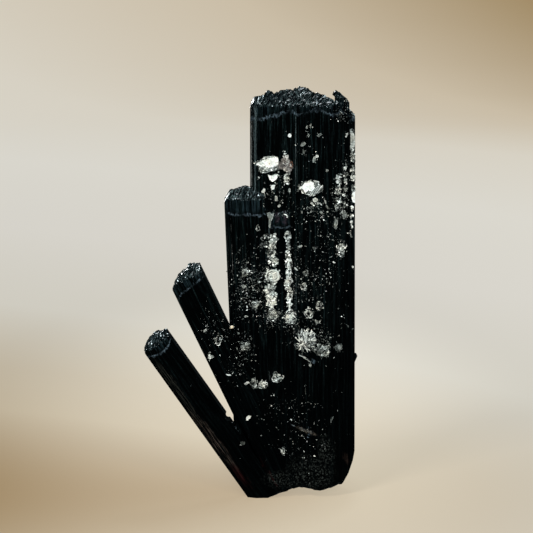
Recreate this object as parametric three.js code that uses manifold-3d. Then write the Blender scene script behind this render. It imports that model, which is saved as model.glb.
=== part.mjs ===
// Tourmaline with zinnwaldite: a natural cluster of black tourmaline crystals that grew
// from one root, with silvery books and rosettes of zinnwaldite mica on their faces.
//
// Millimetres, +Z up. The front of the cluster looks along -Y, and the leaning crystals
// are on its -X side. The origin is at the middle of the bounding box, on the plane that
// the broken root stands on.
//
// The tourmaline crystals are grown into each other, so they are one solid. Each book,
// rosette or row of zinnwaldite is a solid of its own, seated on the tourmaline, and so is
// a grain of feldspar.

import * as THREE from "three";
import { mergeVertices } from "three/addons/utils/BufferGeometryUtils.js";
import Module from "manifold-3d";

const wasm = await Module();
wasm.setup();

// ------------------------------------------------------------------ driving dimensions

const SEAT_GAP = 0.3;     // clearance between the mica and the tourmaline under it
const ROOT_DEPTH = 6;     // how far the prisms run below the standing plane before the cut
const RIB_HEIGHT = 0.14;  // height of the coarse ribs along a prism face
const RIB_PITCH = 2.1;    // spacing of those ribs
const BLANK = 90;         // half the side of the square that a prism's faces cut down
const CUTTER = 300;       // side of the blocks that cut the caps, larger than the cluster

// The nine faces of a tourmaline prism, in degrees round its axis from its first face:
// three broad faces 120 degrees apart, with two narrow ones between each pair.
const FACES = [0, 30, 90, 120, 150, 210, 240, 270, 330];

// The crystals. root and tip are the ends of the axis. turn = where the first face looks,
// in degrees from the front towards +X. reach = distance of each of the nine faces from
// the axis. apex = how far the point of the cap stands off the axis. cap = which way each
// face of the cap looks, its slope, and how far it passes over that point, if it does.
const CRYSTALS = {
  main_right: {
    root: [15.6, -1.0, 0], tip: [15.6, -1.0, 122.9], turn: 0,
    reach: [8.4, 11.3, 13.5, 12.6, 10.4, 8.2, 5.4, 3.2, 8.3],
    apex: [0, 0], cap: [[0, 32], [112, 30], [240, 16]],
  },
  main_left: {
    root: [10.3, -1.6, 0], tip: [10.3, -1.6, 122.2], turn: 0,
    reach: [7.0, 9.6, 8.0, 8.0, 9.0, 9.6, 10.4, 10.7, 10.4],
    apex: [0, 0], cap: [[0, 33], [120, 12], [240, 17], [270, 62, 15]],
  },
  right_edge: {
    root: [28.2, -0.6, 0], tip: [27.9, -0.6, 117.4], turn: 0,
    reach: [5.2, 5.1, 2.9, 4.2, 6.0, 6.0, 4.6, 3.0, 4.6],
    apex: [0, 0], cap: [[0, 34], [96, 46], [240, 20]],
  },
  crown_chip: {
    root: [26.7, -1.6, 106], tip: [26.5, -1.4, 121.2], turn: 0,
    reach: [2.7, 3.1, 2.6, 2.6, 2.6, 2.6, 2.7, 2.5, 3.0],
    apex: [-0.4, 0], cap: [[0, 28], [96, 46], [230, 24]],
  },
  back: {
    root: [12.3, 6.6, 0], tip: [11.0, 7.2, 94.5], turn: 180,
    reach: [5.3, 6.9, 7.2, 7.0, 5.6, 5.6, 6.6, 7.0, 6.5],
    apex: [1.6, 0.4], cap: [[180, 30], [300, 22], [60, 26]],
  },
  back_short: {
    root: [22.2, 5.4, 0], tip: [23.0, 5.9, 61.0], turn: 168,
    reach: [4.3, 5.0, 4.9, 4.6, 4.2, 4.2, 4.6, 4.7, 4.9],
    apex: [0, 0], cap: [[168, 28], [288, 24], [48, 30]],
  },
  stepped: {
    root: [1.1, -3.4, 14], tip: [-2.1, -6.2, 93.9], turn: 0,
    reach: [4.9, 6.7, 6.0, 6.4, 5.6, 5.6, 6.2, 6.1, 6.4],
    apex: [0.4, 0], cap: [[0, 36], [108, 26], [244, 15], [270, 56, 5.6]],
  },
  inner_slim: {
    root: [9.4, -6.0, 14], tip: [8.3, -8.4, 86.3], turn: 0,
    reach: [2.0, 3.2, 3.2, 3.2, 3.0, 3.0, 3.2, 3.3, 3.2],
    apex: [0, 0], cap: [[0, 30], [120, 14], [240, 14]],
  },
  lean_inner: {
    root: [9.0, -3.8, 7], tip: [-20.3, -9.5, 69.6], turn: 0,
    reach: [4.6, 6.1, 5.2, 5.4, 4.8, 4.8, 5.4, 5.2, 5.8],
    apex: [1.8, 0.4], cap: [[0, 28], [112, 14], [240, 18], [270, 44, 2.6]],
  },
  lean_outer: {
    root: [5.6, -5.0, -1.4], tip: [-29.4, -9.4, 49.6], turn: 0,
    reach: [4.3, 5.3, 4.5, 4.8, 4.4, 4.4, 4.9, 4.7, 5.0],
    apex: [0.6, 0.4], cap: [[0, 28], [115, 18], [240, 13], [270, 34, 0.9]],
  },
  side_stub: {
    root: [29.4, -2.0, 38.4], tip: [31.3, -2.2, 42.9], turn: 0,
    reach: [0.9, 0.9, 0.8, 0.8, 0.9, 0.9, 0.8, 0.8, 0.9],
    apex: [0, 0], cap: [[0, 16], [90, 34], [240, 16]],
  },
  needle_upper: {
    root: [14.2, -9.0, 44.4], tip: [19.2, -11.0, 41.4], turn: 0,
    reach: [0.55, 0.6, 0.55, 0.6, 0.6, 0.6, 0.6, 0.55, 0.6],
    apex: [0, 0], cap: [[0, 10], [120, 10], [240, 10]],
  },
  needle_lower: {
    root: [11.6, -8.9, 21.9], tip: [18.1, -10.2, 19.6], turn: 0,
    reach: [0.55, 0.6, 0.6, 0.6, 0.6, 0.6, 0.6, 0.6, 0.6],
    apex: [0, 0], cap: [[0, 10], [120, 10], [240, 10]],
  },
};

// A notch broken out of the inner edge of the outer leaning crystal, above the crotch. It
// runs right through, along Y.
const NOTCH = { crystal: "lean_outer", at: [-6.8, -8.0, 25.0], radius: 1.15, length: 20, sides: 10 };

// The broken underside, from the left foot over the arch to the rounded right corner.
const UNDERSIDE = [
  [5.2, 0.0], [8.2, 1.8], [11.6, 2.8], [15.4, 3.7], [20.6, 2.7], [24.6, 3.5], [27.5, 5.0], [29.3, 7.8],
  [30.6, 11.4], [31.8, 18.0],
];
const UNDERSIDE_FALL = 13;    // degrees by which the broken face falls towards the back
const UNDERSIDE_FRONT = -9.2; // the y of the rim that the outline above is given for
const UNDERSIDE_POINTS = 20;  // points along the smooth rim
const UNDERSIDE_END = [60, 26]; // where the rim runs out, clear of the cluster
const BELOW = -20;            // depth of the cutters under the standing plane

// Zinnwaldite on the cluster. at = where it sits, across and up as seen from its side;
// size = width and height; rise = how far it stands off the face; spin = its turn in the
// face, in degrees.
const MICA = {
  front: {
    crown_plate: { form: "plate", at: [4.9, 100.9], size: [7.2, 4.2], rise: 1.3, spin: 14 },
    crown_plate_small: { form: "plate", at: [6.4, 96.5], size: [3.2, 2.4], rise: 1.0, spin: -10 },
    crown_pink_patch: { form: "rosette", at: [10.5, 100.4], size: [3.8, 4.8], rise: 1.0, spin: 20 },
    crown_fringe: { form: "rosette", at: [10.6, 96.2], size: [2.4, 3.2], rise: 0.9, spin: -12 },
    shoulder_plate: { form: "plate", at: [17.5, 93.7], size: [7.8, 4.9], rise: 1.5, spin: -12 },
    face_row: { form: "row", at: [25.4, 92.4], size: [2.0, 11.0], rise: 0.9, spin: -3 },
    edge_row: { form: "row", at: [27.7, 94.0], size: [1.6, 12.4], rise: 0.9, spin: 0 },
    edge_blade: { form: "plate", at: [29.8, 106.0], size: [1.6, 9.6], rise: 0.9, spin: 0 },
    edge_row_upper: { form: "row", at: [29.9, 94.6], size: [1.4, 9.6], rise: 0.9, spin: 1 },
    edge_row_lower: { form: "row", at: [29.5, 83.4], size: [1.3, 9.0], rise: 0.8, spin: 1 },
    edge_rosette_upper: { form: "rosette", at: [27.2, 85.4], size: [2.2, 3.0], rise: 0.9, spin: 25 },
    long_book: { form: "plate", at: [24.7, 82.9], size: [1.5, 4.0], rise: 0.8, spin: -6 },
    edge_rosette: { form: "rosette", at: [26.3, 75.2], size: [4.0, 4.4], rise: 1.1, spin: 8 },
    ring_high: { form: "rosette", at: [2.0, 81.8], size: [2.0, 2.2], rise: 0.8, spin: 0 },
    groove_row_side: { form: "row", at: [3.7, 77.8], size: [1.8, 4.2], rise: 0.9, spin: 14 },
    groove_row_top: { form: "row", at: [6.2, 75.4], size: [2.4, 8.4], rise: 1.0, spin: -3 },
    groove_rosette: { form: "rosette", at: [6.3, 67.3], size: [5.0, 5.4], rise: 1.5, spin: 15 },
    groove_row_low: { form: "row", at: [5.9, 61.4], size: [4.0, 5.6], rise: 1.1, spin: -4 },
    groove_tail: { form: "rosette", at: [6.3, 55.6], size: [3.2, 4.6], rise: 0.9, spin: 30 },
    ridge_row_top: { form: "row", at: [10.9, 76.8], size: [1.7, 7.8], rise: 0.9, spin: 0 },
    ridge_row_middle: { form: "row", at: [10.9, 67.6], size: [1.9, 8.0], rise: 0.9, spin: 0 },
    ridge_row_low: { form: "row", at: [11.3, 60.4], size: [2.2, 4.2], rise: 1.0, spin: 0 },
    ridge_rosette: { form: "rosette", at: [11.6, 55.0], size: [4.4, 4.6], rise: 1.2, spin: 10 },
    face_ring: { form: "rosette", at: [16.2, 68.2], size: [2.0, 2.2], rise: 0.8, spin: 0 },
    face_books: { form: "rosette", at: [15.6, 64.0], size: [3.0, 2.2], rise: 0.8, spin: 10 },
    face_rosette_low: { form: "rosette", at: [17.0, 56.2], size: [2.8, 3.2], rise: 0.9, spin: 20 },
    face_rosette_side: { form: "rosette", at: [20.2, 58.5], size: [2.4, 2.6], rise: 0.8, spin: -20 },
    ledge_cluster: { form: "rosette", at: [16.4, 48.2], size: [7.6, 5.4], rise: 1.5, spin: -8 },
    ledge_rosette: { form: "rosette", at: [21.6, 44.6], size: [4.2, 4.2], rise: 1.2, spin: 14 },
    ledge_plate: { form: "plate", at: [25.7, 45.6], size: [2.4, 3.4], rise: 0.8, spin: 40 },
    root_rosette: { form: "rosette", at: [0.6, 35.1], size: [2.6, 3.0], rise: 1.0, spin: 0 },
    root_ring: { form: "rosette", at: [3.6, 34.6], size: [2.8, 3.2], rise: 0.9, spin: 24 },
    face_ring_low: { form: "rosette", at: [7.8, 36.7], size: [3.6, 3.6], rise: 1.0, spin: 30 },
    stepped_books: { form: "rosette", at: [-1.7, 68.5], size: [2.8, 2.2], rise: 0.9, spin: 10 },
    stepped_tail: { form: "rosette", at: [1.1, 58.9], size: [3.0, 2.4], rise: 0.8, spin: -20 },
    groove_step: { form: "rosette", at: [-1.9, 46.4], size: [3.2, 2.6], rise: 0.9, spin: -14 },
    lean_ring: { form: "rosette", at: [-9.8, 48.6], size: [3.0, 3.0], rise: 0.9, spin: 12 },
    lean_edge_plate: { form: "plate", at: [-12.2, 43.6], size: [1.9, 2.7], rise: 0.9, spin: 30 },
    root_spark: { form: "plate", at: [-0.9, 24.8], size: [1.6, 1.6], rise: 0.8, spin: 24 },
    foot_rosette: { form: "rosette", at: [9.6, 14.4], size: [2.0, 2.2], rise: 0.8, spin: 0 },
  },
  back: {
    back_rosette_high: { form: "rosette", at: [17.8, 108.0], size: [4.6, 4.2], rise: 1.2, spin: 10 },
    back_row: { form: "row", at: [21.8, 76.0], size: [2.2, 13.0], rise: 1.0, spin: 3 },
    back_plate: { form: "plate", at: [12.8, 80.0], size: [5.8, 4.0], rise: 1.2, spin: -18 },
    back_rosette_low: { form: "rosette", at: [23.8, 40.0], size: [4.4, 4.6], rise: 1.2, spin: 24 },
    back_groove_row: { form: "row", at: [7.2, 52.0], size: [2.0, 11.0], rise: 0.9, spin: -4 },
    back_ring: { form: "rosette", at: [0.8, 60.0], size: [3.0, 3.0], rise: 0.9, spin: 0 },
  },
};

// The proportions of the mica's forms, as shares of a piece's width, height and rise, with
// angles in degrees.
const PLATE = { sides: 6, face: 0.5, foot: 0.42 };
const BOOK_TOP = { width: 0.62, height: 0.7, rise: 0.5, across: 0.06, up: 0.05, tip: 6, spin: 12 };
const ROSETTE_MIDDLE = { width: 0.6, height: 0.6, rise: 1.3 };
const PETAL = { count: 2, width: 0.8, height: 0.66, rise: 0.8, out: 0.17, tip: -12 };
const ROW = { pitch: 1.3, overlap: 1.35, spins: [-12, 14] };

// A grain of feldspar in the crotch between the stepped crystal and the inner leaning one.
const FELDSPAR = { at: [-5.7, 52.1], size: [1.5, 1.2], rise: 0.9, spin: 24 };

const TOURMALINE = new THREE.MeshStandardMaterial({ color: 0x0b0d0e, roughness: 0.35, metalness: 0 });
const SILVER_MICA = new THREE.MeshStandardMaterial({ color: 0xd6d6cf, roughness: 0.25, metalness: 0.35 });
const PINK_MICA = new THREE.MeshStandardMaterial({ color: 0x9d8f8c, roughness: 0.4, metalness: 0.2 });
const CREAM_FELDSPAR = new THREE.MeshStandardMaterial({ color: 0xe0d8b0, roughness: 0.5, metalness: 0 });

// ------------------------------------------------------- three.js shapes and solids

function toSolid(geometry) {
  const bare = geometry.index ? geometry.toNonIndexed() : geometry.clone();
  bare.deleteAttribute("normal");
  bare.deleteAttribute("uv");
  const merged = mergeVertices(bare, 1e-4);
  return new wasm.Manifold(
    new wasm.Mesh({
      numProp: 3,
      vertProperties: new Float32Array(merged.attributes.position.array),
      triVerts: new Uint32Array(merged.index.array),
    }),
  );
}

function toGeometry(solid) {
  const { vertProperties, triVerts } = solid.getMesh();
  const geometry = new THREE.BufferGeometry();
  geometry.setAttribute("position", new THREE.BufferAttribute(vertProperties, 3));
  geometry.setIndex(new THREE.BufferAttribute(triVerts, 1));
  return geometry;
}

function largestBody(solid) {
  return solid.decompose().reduce((a, b) => (b.volume() > a.volume() ? b : a));
}

const radians = THREE.MathUtils.degToRad;

// ------------------------------------------------------------------ the tourmaline

// Which way a face looks, in degrees from the front towards +X.
function lookingAlong(degrees) {
  return new THREE.Vector2(Math.sin(radians(degrees)), -Math.cos(radians(degrees)));
}

// Corners of a prism's section: what is left of a large square when each face has cut it.
function sectionCorners({ turn, reach }, grow) {
  let corners = [[-1, -1], [1, -1], [1, 1], [-1, 1]].map(([x, y]) => new THREE.Vector2(BLANK * x, BLANK * y));
  FACES.forEach((face, i) => {
    const out = lookingAlong(turn + face);
    const over = corners.map((c) => c.dot(out) - reach[i] - grow);
    corners = corners.flatMap((corner, k) => {
      const next = (k + 1) % corners.length;
      const kept = over[k] <= 0 ? [corner] : [];
      if (over[k] * over[next] < 0) {
        kept.push(corner.clone().lerp(corners[next], over[k] / (over[k] - over[next])));
      }
      return kept;
    });
  });
  return corners;
}

// The section as a shape, with low ribs a RIB_PITCH apart on each face.
function sectionShape(spec, grow) {
  const corners = sectionCorners(spec, grow);
  const points = [];
  corners.forEach((corner, i) => {
    const along = corners[(i + 1) % corners.length].clone().sub(corner);
    const out = new THREE.Vector2(along.y, -along.x).normalize();
    const ribs = Math.max(1, Math.round(along.length() / RIB_PITCH));
    points.push(corner);
    for (let k = 1; k < ribs; k++) {
      const height = k % 2 ? -RIB_HEIGHT : 0;
      points.push(corner.clone().addScaledVector(along, k / ribs).addScaledVector(out, height));
    }
  });
  return new THREE.Shape(points);
}

// All that lies behind a sloping face of the cap.
function behindCapFace([looks, slope, over = 0], apex) {
  return toSolid(
    new THREE.BoxGeometry(CUTTER, CUTTER, CUTTER)
      .translate(0, 0, -CUTTER / 2)
      .rotateX(radians(slope))
      .rotateZ(radians(looks))
      .translate(apex[0], apex[1], apex[2] + over),
  );
}

// One crystal: a ribbed prism under a low cap of three faces.
function crystal(spec, grow) {
  const root = new THREE.Vector3(...spec.root);
  const axis = new THREE.Vector3(...spec.tip).sub(root);
  const length = axis.length();
  const runOut = spec.root[2] <= 0 ? ROOT_DEPTH : grow;
  const prism = new THREE.ExtrudeGeometry(sectionShape(spec, grow), {
    depth: length + runOut + 2 * grow,
    bevelEnabled: false,
  }).translate(0, 0, -runOut);

  const apex = [...spec.apex, length + 1.2 * grow];
  const capped = spec.cap
    .map((face) => behindCapFace(face, apex))
    .reduce((solid, behind) => solid.intersect(behind), toSolid(prism));

  const frame = new THREE.Matrix4()
    .makeRotationFromQuaternion(
      new THREE.Quaternion().setFromUnitVectors(new THREE.Vector3(0, 0, 1), axis.normalize()),
    )
    .setPosition(root);
  return toSolid(toGeometry(capped).applyMatrix4(frame));
}

// What the broken underside takes away: the arch and the rounded right corner. It falls
// towards the back, so that the back of the root reaches the standing plane.
function undersideCutter() {
  const rim = new THREE.SplineCurve(UNDERSIDE.map(([x, z]) => new THREE.Vector2(x, z)));
  const outline = new THREE.Shape([
    new THREE.Vector2(UNDERSIDE[0][0], BELOW),
    ...rim.getPoints(UNDERSIDE_POINTS),
    new THREE.Vector2(...UNDERSIDE_END),
    new THREE.Vector2(UNDERSIDE_END[0], BELOW),
  ]);
  const depth = UNDERSIDE_END[0];
  const geometry = new THREE.ExtrudeGeometry(outline, { depth, bevelEnabled: false })
    .rotateX(Math.PI / 2) // the outline's height becomes +Z
    .translate(0, depth / 2, 0)
    .rotateX(-radians(UNDERSIDE_FALL))
    .translate(0, UNDERSIDE_FRONT * Math.cos(radians(UNDERSIDE_FALL)), 0);
  return toSolid(geometry);
}

// Everything under the standing plane.
function belowStandingPlane(grow) {
  return toSolid(new THREE.BoxGeometry(CUTTER, CUTTER, -2 * BELOW).translate(0, 0, BELOW - grow));
}

function notchCutter() {
  const { at, radius, length, sides } = NOTCH;
  return toSolid(new THREE.CylinderGeometry(radius, radius, length, sides).translate(...at));
}

// All the crystals grown into one, moved out by grow on every side.
function tourmaline(grow) {
  const grown = Object.entries(CRYSTALS)
    .map(([name, spec]) => {
      const whole = crystal(spec, grow);
      return name === NOTCH.crystal ? whole.subtract(notchCutter()) : whole;
    })
    .reduce((a, b) => a.add(b));
  return largestBody(grown.subtract(undersideCutter()).subtract(belowStandingPlane(grow)));
}

// ------------------------------------------------------------------ the zinnwaldite

// A six-sided cleavage plate, its face towards +Z.
function plate(width, height, thickness) {
  return new THREE.CylinderGeometry(PLATE.face, PLATE.foot, thickness, PLATE.sides)
    .rotateX(Math.PI / 2)
    .scale(width, height, 1);
}

// A large book: one broad plate with a smaller one lying askew on it.
function plateBook([width, height], rise) {
  const lower = toSolid(plate(width, height, rise));
  const upper = toSolid(
    plate(BOOK_TOP.width * width, BOOK_TOP.height * height, BOOK_TOP.rise * rise)
      .rotateX(radians(BOOK_TOP.tip))
      .rotateZ(radians(BOOK_TOP.spin))
      .translate(BOOK_TOP.across * width, BOOK_TOP.up * height, BOOK_TOP.rise * rise),
  );
  return lower.add(upper);
}

// A rosette: plates fanned round a middle one, each tipped outwards.
function rosette([width, height], rise) {
  const middle = ROSETTE_MIDDLE;
  let whole = toSolid(plate(middle.width * width, middle.height * height, middle.rise * rise));
  for (let k = 0; k < PETAL.count; k++) {
    const petal = plate(PETAL.width * width, PETAL.height * height, PETAL.rise * rise)
      .rotateX(radians(PETAL.tip))
      .translate(0, PETAL.out * height, 0)
      .rotateZ(radians((360 * k) / PETAL.count));
    whole = whole.add(toSolid(petal));
  }
  return whole;
}

// A row of small books, one above another, each askew to the next.
function rowOfBooks([width, height], rise) {
  const count = Math.max(2, Math.round(height / (ROW.pitch * width)));
  const pitch = height / count;
  let whole = null;
  for (let k = 0; k < count; k++) {
    const book = toSolid(
      plate(width, ROW.overlap * pitch, rise)
        .rotateZ(radians(ROW.spins[k % 2]))
        .translate(0, (k + 0.5) * pitch - height / 2, 0),
    );
    whole = whole ? whole.add(book) : book;
  }
  return whole;
}

// A rounded, blocky grain.
function grain([width, height], rise) {
  return toSolid(new THREE.IcosahedronGeometry(0.5, 1).scale(width, height, 2 * rise));
}

const FORMS = { plate: plateBook, rosette, row: rowOfBooks, grain };
const SIDES = { front: new THREE.Vector3(0, 1, 0), back: new THREE.Vector3(0, -1, 0) };

// A piece of mica or feldspar where a line of sight from its side meets the tourmaline. It
// lies on the face there, and what would be inside the tourmaline is cut away.
function seated(spec, sight, host, keepOut, material) {
  const from = new THREE.Vector3(spec.at[0], 0, spec.at[1]).addScaledVector(sight, -100);
  const [hit] = new THREE.Raycaster(from, sight).intersectObject(host);
  const out = hit.face.normal.clone().addScaledVector(sight, -1).normalize();
  const across = new THREE.Vector3().crossVectors(new THREE.Vector3(0, 0, 1), out).normalize();
  const up = new THREE.Vector3().crossVectors(out, across);
  const frame = new THREE.Matrix4().makeBasis(across, up, out).setPosition(hit.point);
  const inPlace = toGeometry(FORMS[spec.form](spec.size, 2 * spec.rise))
    .rotateZ(radians(spec.spin))
    .applyMatrix4(frame);
  const fitted = largestBody(toSolid(inPlace).subtract(keepOut));
  const piece = new THREE.Mesh(toGeometry(fitted).applyMatrix4(frame.clone().invert()), material);
  piece.applyMatrix4(frame);
  return piece;
}

// ---------------------------------------------------------------------- the cluster

const specimen = new THREE.Group();

const crystals = new THREE.Mesh(toGeometry(tourmaline(0)), TOURMALINE);
crystals.name = "tourmaline_crystals";
specimen.add(crystals);

const keepOut = tourmaline(SEAT_GAP);
for (const [side, sight] of Object.entries(SIDES)) {
  for (const [place, spec] of Object.entries(MICA[side])) {
    const material = place.includes("pink") ? PINK_MICA : SILVER_MICA;
    const mica = seated(spec, sight, crystals, keepOut, material);
    mica.name = `zinnwaldite_${place}`;
    specimen.add(mica);
  }
}

const feldspar = seated({ form: "grain", ...FELDSPAR }, SIDES.front, crystals, keepOut, CREAM_FELDSPAR);
feldspar.name = "feldspar_grain";
specimen.add(feldspar);

// Put the middle of the bounding box over the origin.
const box = new THREE.Box3().setFromObject(specimen, true);
const middle = box.getCenter(new THREE.Vector3());
specimen.position.set(-middle.x, -middle.y, -box.min.z);

export default specimen;
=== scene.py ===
# Tourmaline with zinnwaldite: a natural cluster of black tourmaline crystals grown from one
# root, with silvery books and rosettes of zinnwaldite mica on their faces.
# Lengths are in millimetres until a mesh is handed to Blender, which works in metres here.

import math
from dataclasses import dataclass

import bmesh
import bpy
import numpy as np
from mathutils import Matrix, Vector
from mathutils.bvhtree import BVHTree


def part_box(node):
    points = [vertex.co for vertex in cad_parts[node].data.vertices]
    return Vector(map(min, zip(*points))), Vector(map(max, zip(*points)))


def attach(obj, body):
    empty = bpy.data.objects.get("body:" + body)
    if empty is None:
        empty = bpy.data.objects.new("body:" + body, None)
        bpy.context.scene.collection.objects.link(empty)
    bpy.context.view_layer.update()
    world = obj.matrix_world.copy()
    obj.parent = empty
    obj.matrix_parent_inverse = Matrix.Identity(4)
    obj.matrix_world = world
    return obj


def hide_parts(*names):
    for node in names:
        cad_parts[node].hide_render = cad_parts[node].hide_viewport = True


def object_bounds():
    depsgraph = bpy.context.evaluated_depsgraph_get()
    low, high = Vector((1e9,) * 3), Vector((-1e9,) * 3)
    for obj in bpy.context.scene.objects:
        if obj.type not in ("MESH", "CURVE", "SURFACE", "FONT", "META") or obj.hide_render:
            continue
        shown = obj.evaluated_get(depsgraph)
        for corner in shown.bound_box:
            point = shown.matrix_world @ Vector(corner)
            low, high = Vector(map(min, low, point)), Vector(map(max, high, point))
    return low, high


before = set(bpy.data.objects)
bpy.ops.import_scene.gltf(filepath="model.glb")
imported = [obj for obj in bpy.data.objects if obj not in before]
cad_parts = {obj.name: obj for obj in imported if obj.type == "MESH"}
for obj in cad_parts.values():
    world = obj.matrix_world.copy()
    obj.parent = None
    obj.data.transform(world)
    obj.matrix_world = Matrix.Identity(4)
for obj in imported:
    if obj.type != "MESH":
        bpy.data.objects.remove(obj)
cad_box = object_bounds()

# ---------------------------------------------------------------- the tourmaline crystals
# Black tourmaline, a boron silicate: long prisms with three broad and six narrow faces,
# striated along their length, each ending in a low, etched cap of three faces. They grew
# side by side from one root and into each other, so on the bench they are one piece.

MM = 0.001
FACES = [0, 30, 90, 120, 150, 210, 240, 270, 330]    # where a crystal's faces look


@dataclass
class Crystal:
    root: tuple               # the lower end of its axis
    tip: tuple                # the upper end
    reach: list               # how far each of its nine faces stands off the axis
    cap: list                 # where each cap face looks, its slope, how far it passes over the tip
    line: list                # the growth line: how far across, and how deep under the cap
    etch: float               # depth of the etching on the cap
    turn: float = 0           # where its first face looks, in degrees from the front towards +X
    apex: tuple = (0, 0)      # how far the point of the cap stands off the axis
    blunt: tuple = ()         # where an edge between two faces is blunted, and how far off the axis
    thin: float = 1           # how many times thinner the growth line is than on the main crystals
    pale: float = 0           # how much more of the cap gets the painted glints of its etched crests


CRYSTALS = {
    "main_right": Crystal(
        root=(15.6, -1.0, 0), tip=(15.6, -1.0, 122.9),
        reach=[8.4, 11.3, 13.5, 12.6, 10.4, 8.2, 5.4, 3.2, 8.3],
        cap=[(0, 32, 0), (112, 30, 0), (240, 16, 0)],
        line=[(-3, 2.3), (1, 2.0), (3.6, 0.9), (5, 1.0), (8.6, 2.9), (12, 2.2)], etch=0.85),
    "main_left": Crystal(
        root=(10.3, -1.6, 0), tip=(10.3, -1.6, 122.2),
        reach=[7.0, 9.6, 8.0, 8.0, 9.0, 9.6, 10.4, 10.7, 10.4], blunt=[(300, 11.7)],
        cap=[(0, 33, 0), (120, 12, 0), (240, 17, 0), (270, 62, 15)],
        line=[(-9, 4.0), (-4, 3.0), (1.2, 1.7), (6, 1.4)], etch=0.85),
    "right_edge": Crystal(
        root=(28.2, -0.6, 0), tip=(27.9, -0.6, 117.4),
        reach=[5.2, 5.1, 2.9, 4.2, 6.0, 6.0, 4.6, 3.0, 4.6],
        cap=[(0, 34, 0), (96, 46, 0), (240, 20, 0)], line=[(0, 0.9)], etch=0.8),
    "crown_chip": Crystal(
        root=(26.7, -1.6, 106), tip=(26.5, -1.4, 121.2),
        reach=[2.7, 3.1, 2.6, 2.6, 2.6, 2.6, 2.2, 1.8, 2.4],
        apex=(-0.4, 0), cap=[(0, 28, 0), (96, 46, 0), (230, 24, 0)], line=[(0, 6)], etch=0.8),
    "crown_hook": Crystal(
        root=(28.0, -1.6, 118.6), tip=(24.3, -1.6, 121.5),
        reach=[0.9, 1.0, 0.9, 0.9, 0.9, 0.9, 0.9, 0.9, 1.0],
        cap=[(0, 20, 0), (120, 30, 0), (240, 40, 0)], line=[(0, 1)], etch=0.25),
    "crown_bump": Crystal(
        root=(6.0, -1.2, 116), tip=(5.0, -1.0, 121.9), turn=40,
        reach=[1.2, 1.3, 1.4, 1.3, 1.4, 1.4, 1.3, 1.3, 1.4],
        cap=[(0, 34, 0), (120, 38, 0), (240, 40, 0)], line=[(0, 1)], etch=0.3),
    "back": Crystal(
        root=(12.3, 6.6, 0), tip=(11.0, 7.2, 94.5), turn=180,
        reach=[5.3, 6.9, 7.2, 7.0, 5.6, 5.6, 6.6, 7.0, 6.5],
        apex=(1.6, 0.4), cap=[(180, 30, 0), (300, 22, 0), (60, 26, 0)], line=[(0, 2.2)], etch=0.7),
    "back_short": Crystal(
        root=(22.2, 5.4, 0), tip=(23.0, 5.9, 61.0), turn=168,
        reach=[4.3, 5.0, 4.9, 4.6, 4.2, 4.2, 4.6, 4.7, 4.9],
        cap=[(168, 28, 0), (288, 24, 0), (48, 30, 0)], line=[(0, 1.8)], etch=0.6),
    "stepped": Crystal(
        root=(1.1, -3.4, 14), tip=(-2.1, -6.2, 93.9),
        reach=[4.9, 6.7, 6.0, 6.4, 5.6, 5.6, 6.2, 6.1, 6.4], blunt=[(300, 6.85)],
        apex=(0.4, 0), cap=[(0, 36, 0), (108, 26, 0), (244, 15, 0), (270, 56, 5.6)],
        line=[(-4, 4.2), (3, 4.9)], thin=1.5, pale=1.0, etch=0.6),
    "inner_slim": Crystal(
        root=(9.4, -6.0, 14), tip=(8.3, -8.4, 86.3),
        reach=[2.0, 3.2, 3.2, 3.2, 3.0, 3.0, 3.2, 3.3, 3.2],
        cap=[(0, 30, 0), (120, 14, 0), (240, 14, 0)], line=[(0, 3.1)], thin=1.8, etch=0.3),
    "lean_inner": Crystal(
        root=(9.0, -3.8, 7), tip=(-20.3, -9.5, 69.6),
        reach=[4.6, 6.1, 5.2, 5.4, 4.8, 4.8, 5.4, 5.2, 5.8],
        apex=(1.8, 0.4), cap=[(0, 28, 0), (112, 14, 0), (240, 18, 0), (270, 44, 2.6)],
        line=[(-4, 3.4), (0, 2.9), (1.5, 2.2), (4, 1.8)], thin=1.7, etch=0.7),
    "lean_outer": Crystal(
        root=(5.6, -5.0, -1.4), tip=(-29.4, -9.4, 49.6),
        reach=[4.3, 5.3, 4.5, 4.8, 4.4, 4.4, 4.9, 4.7, 5.0],
        apex=(0.6, 0.4), cap=[(0, 28, 0), (115, 18, 0), (240, 13, 0), (270, 34, 0.9)],
        line=[(-4, 2.2), (0, 2.9), (2, 2.4), (4, 1.3)], thin=1.7, etch=0.7),
    "side_stub": Crystal(
        root=(29.4, -2.0, 38.4), tip=(31.3, -2.2, 42.9),
        reach=[0.9, 0.9, 0.8, 0.8, 0.9, 0.9, 0.8, 0.8, 0.9],
        cap=[(0, 16, 0), (90, 34, 0), (240, 16, 0)], line=[(0, 1)], etch=0.1),
    "needle_upper": Crystal(
        root=(14.2, -9.0, 44.4), tip=(19.2, -11.0, 41.4),
        reach=[0.55, 0.6, 0.55, 0.6, 0.6, 0.6, 0.6, 0.55, 0.6],
        cap=[(0, 10, 0), (120, 10, 0), (240, 10, 0)], line=[(0, 0.9)], etch=0.05),
    "needle_lower": Crystal(
        root=(11.6, -8.9, 21.9), tip=(18.1, -10.2, 19.6),
        reach=[0.55, 0.6, 0.6, 0.6, 0.6, 0.6, 0.6, 0.6, 0.6],
        cap=[(0, 10, 0), (120, 10, 0), (240, 10, 0)], line=[(0, 0.9)], etch=0.05),
}
SLIM = 2                  # a crystal that reaches less than this has finer striae
SLIM_SHARE = 0.25         # of the depth that striae and ribs have on the other crystals

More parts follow.
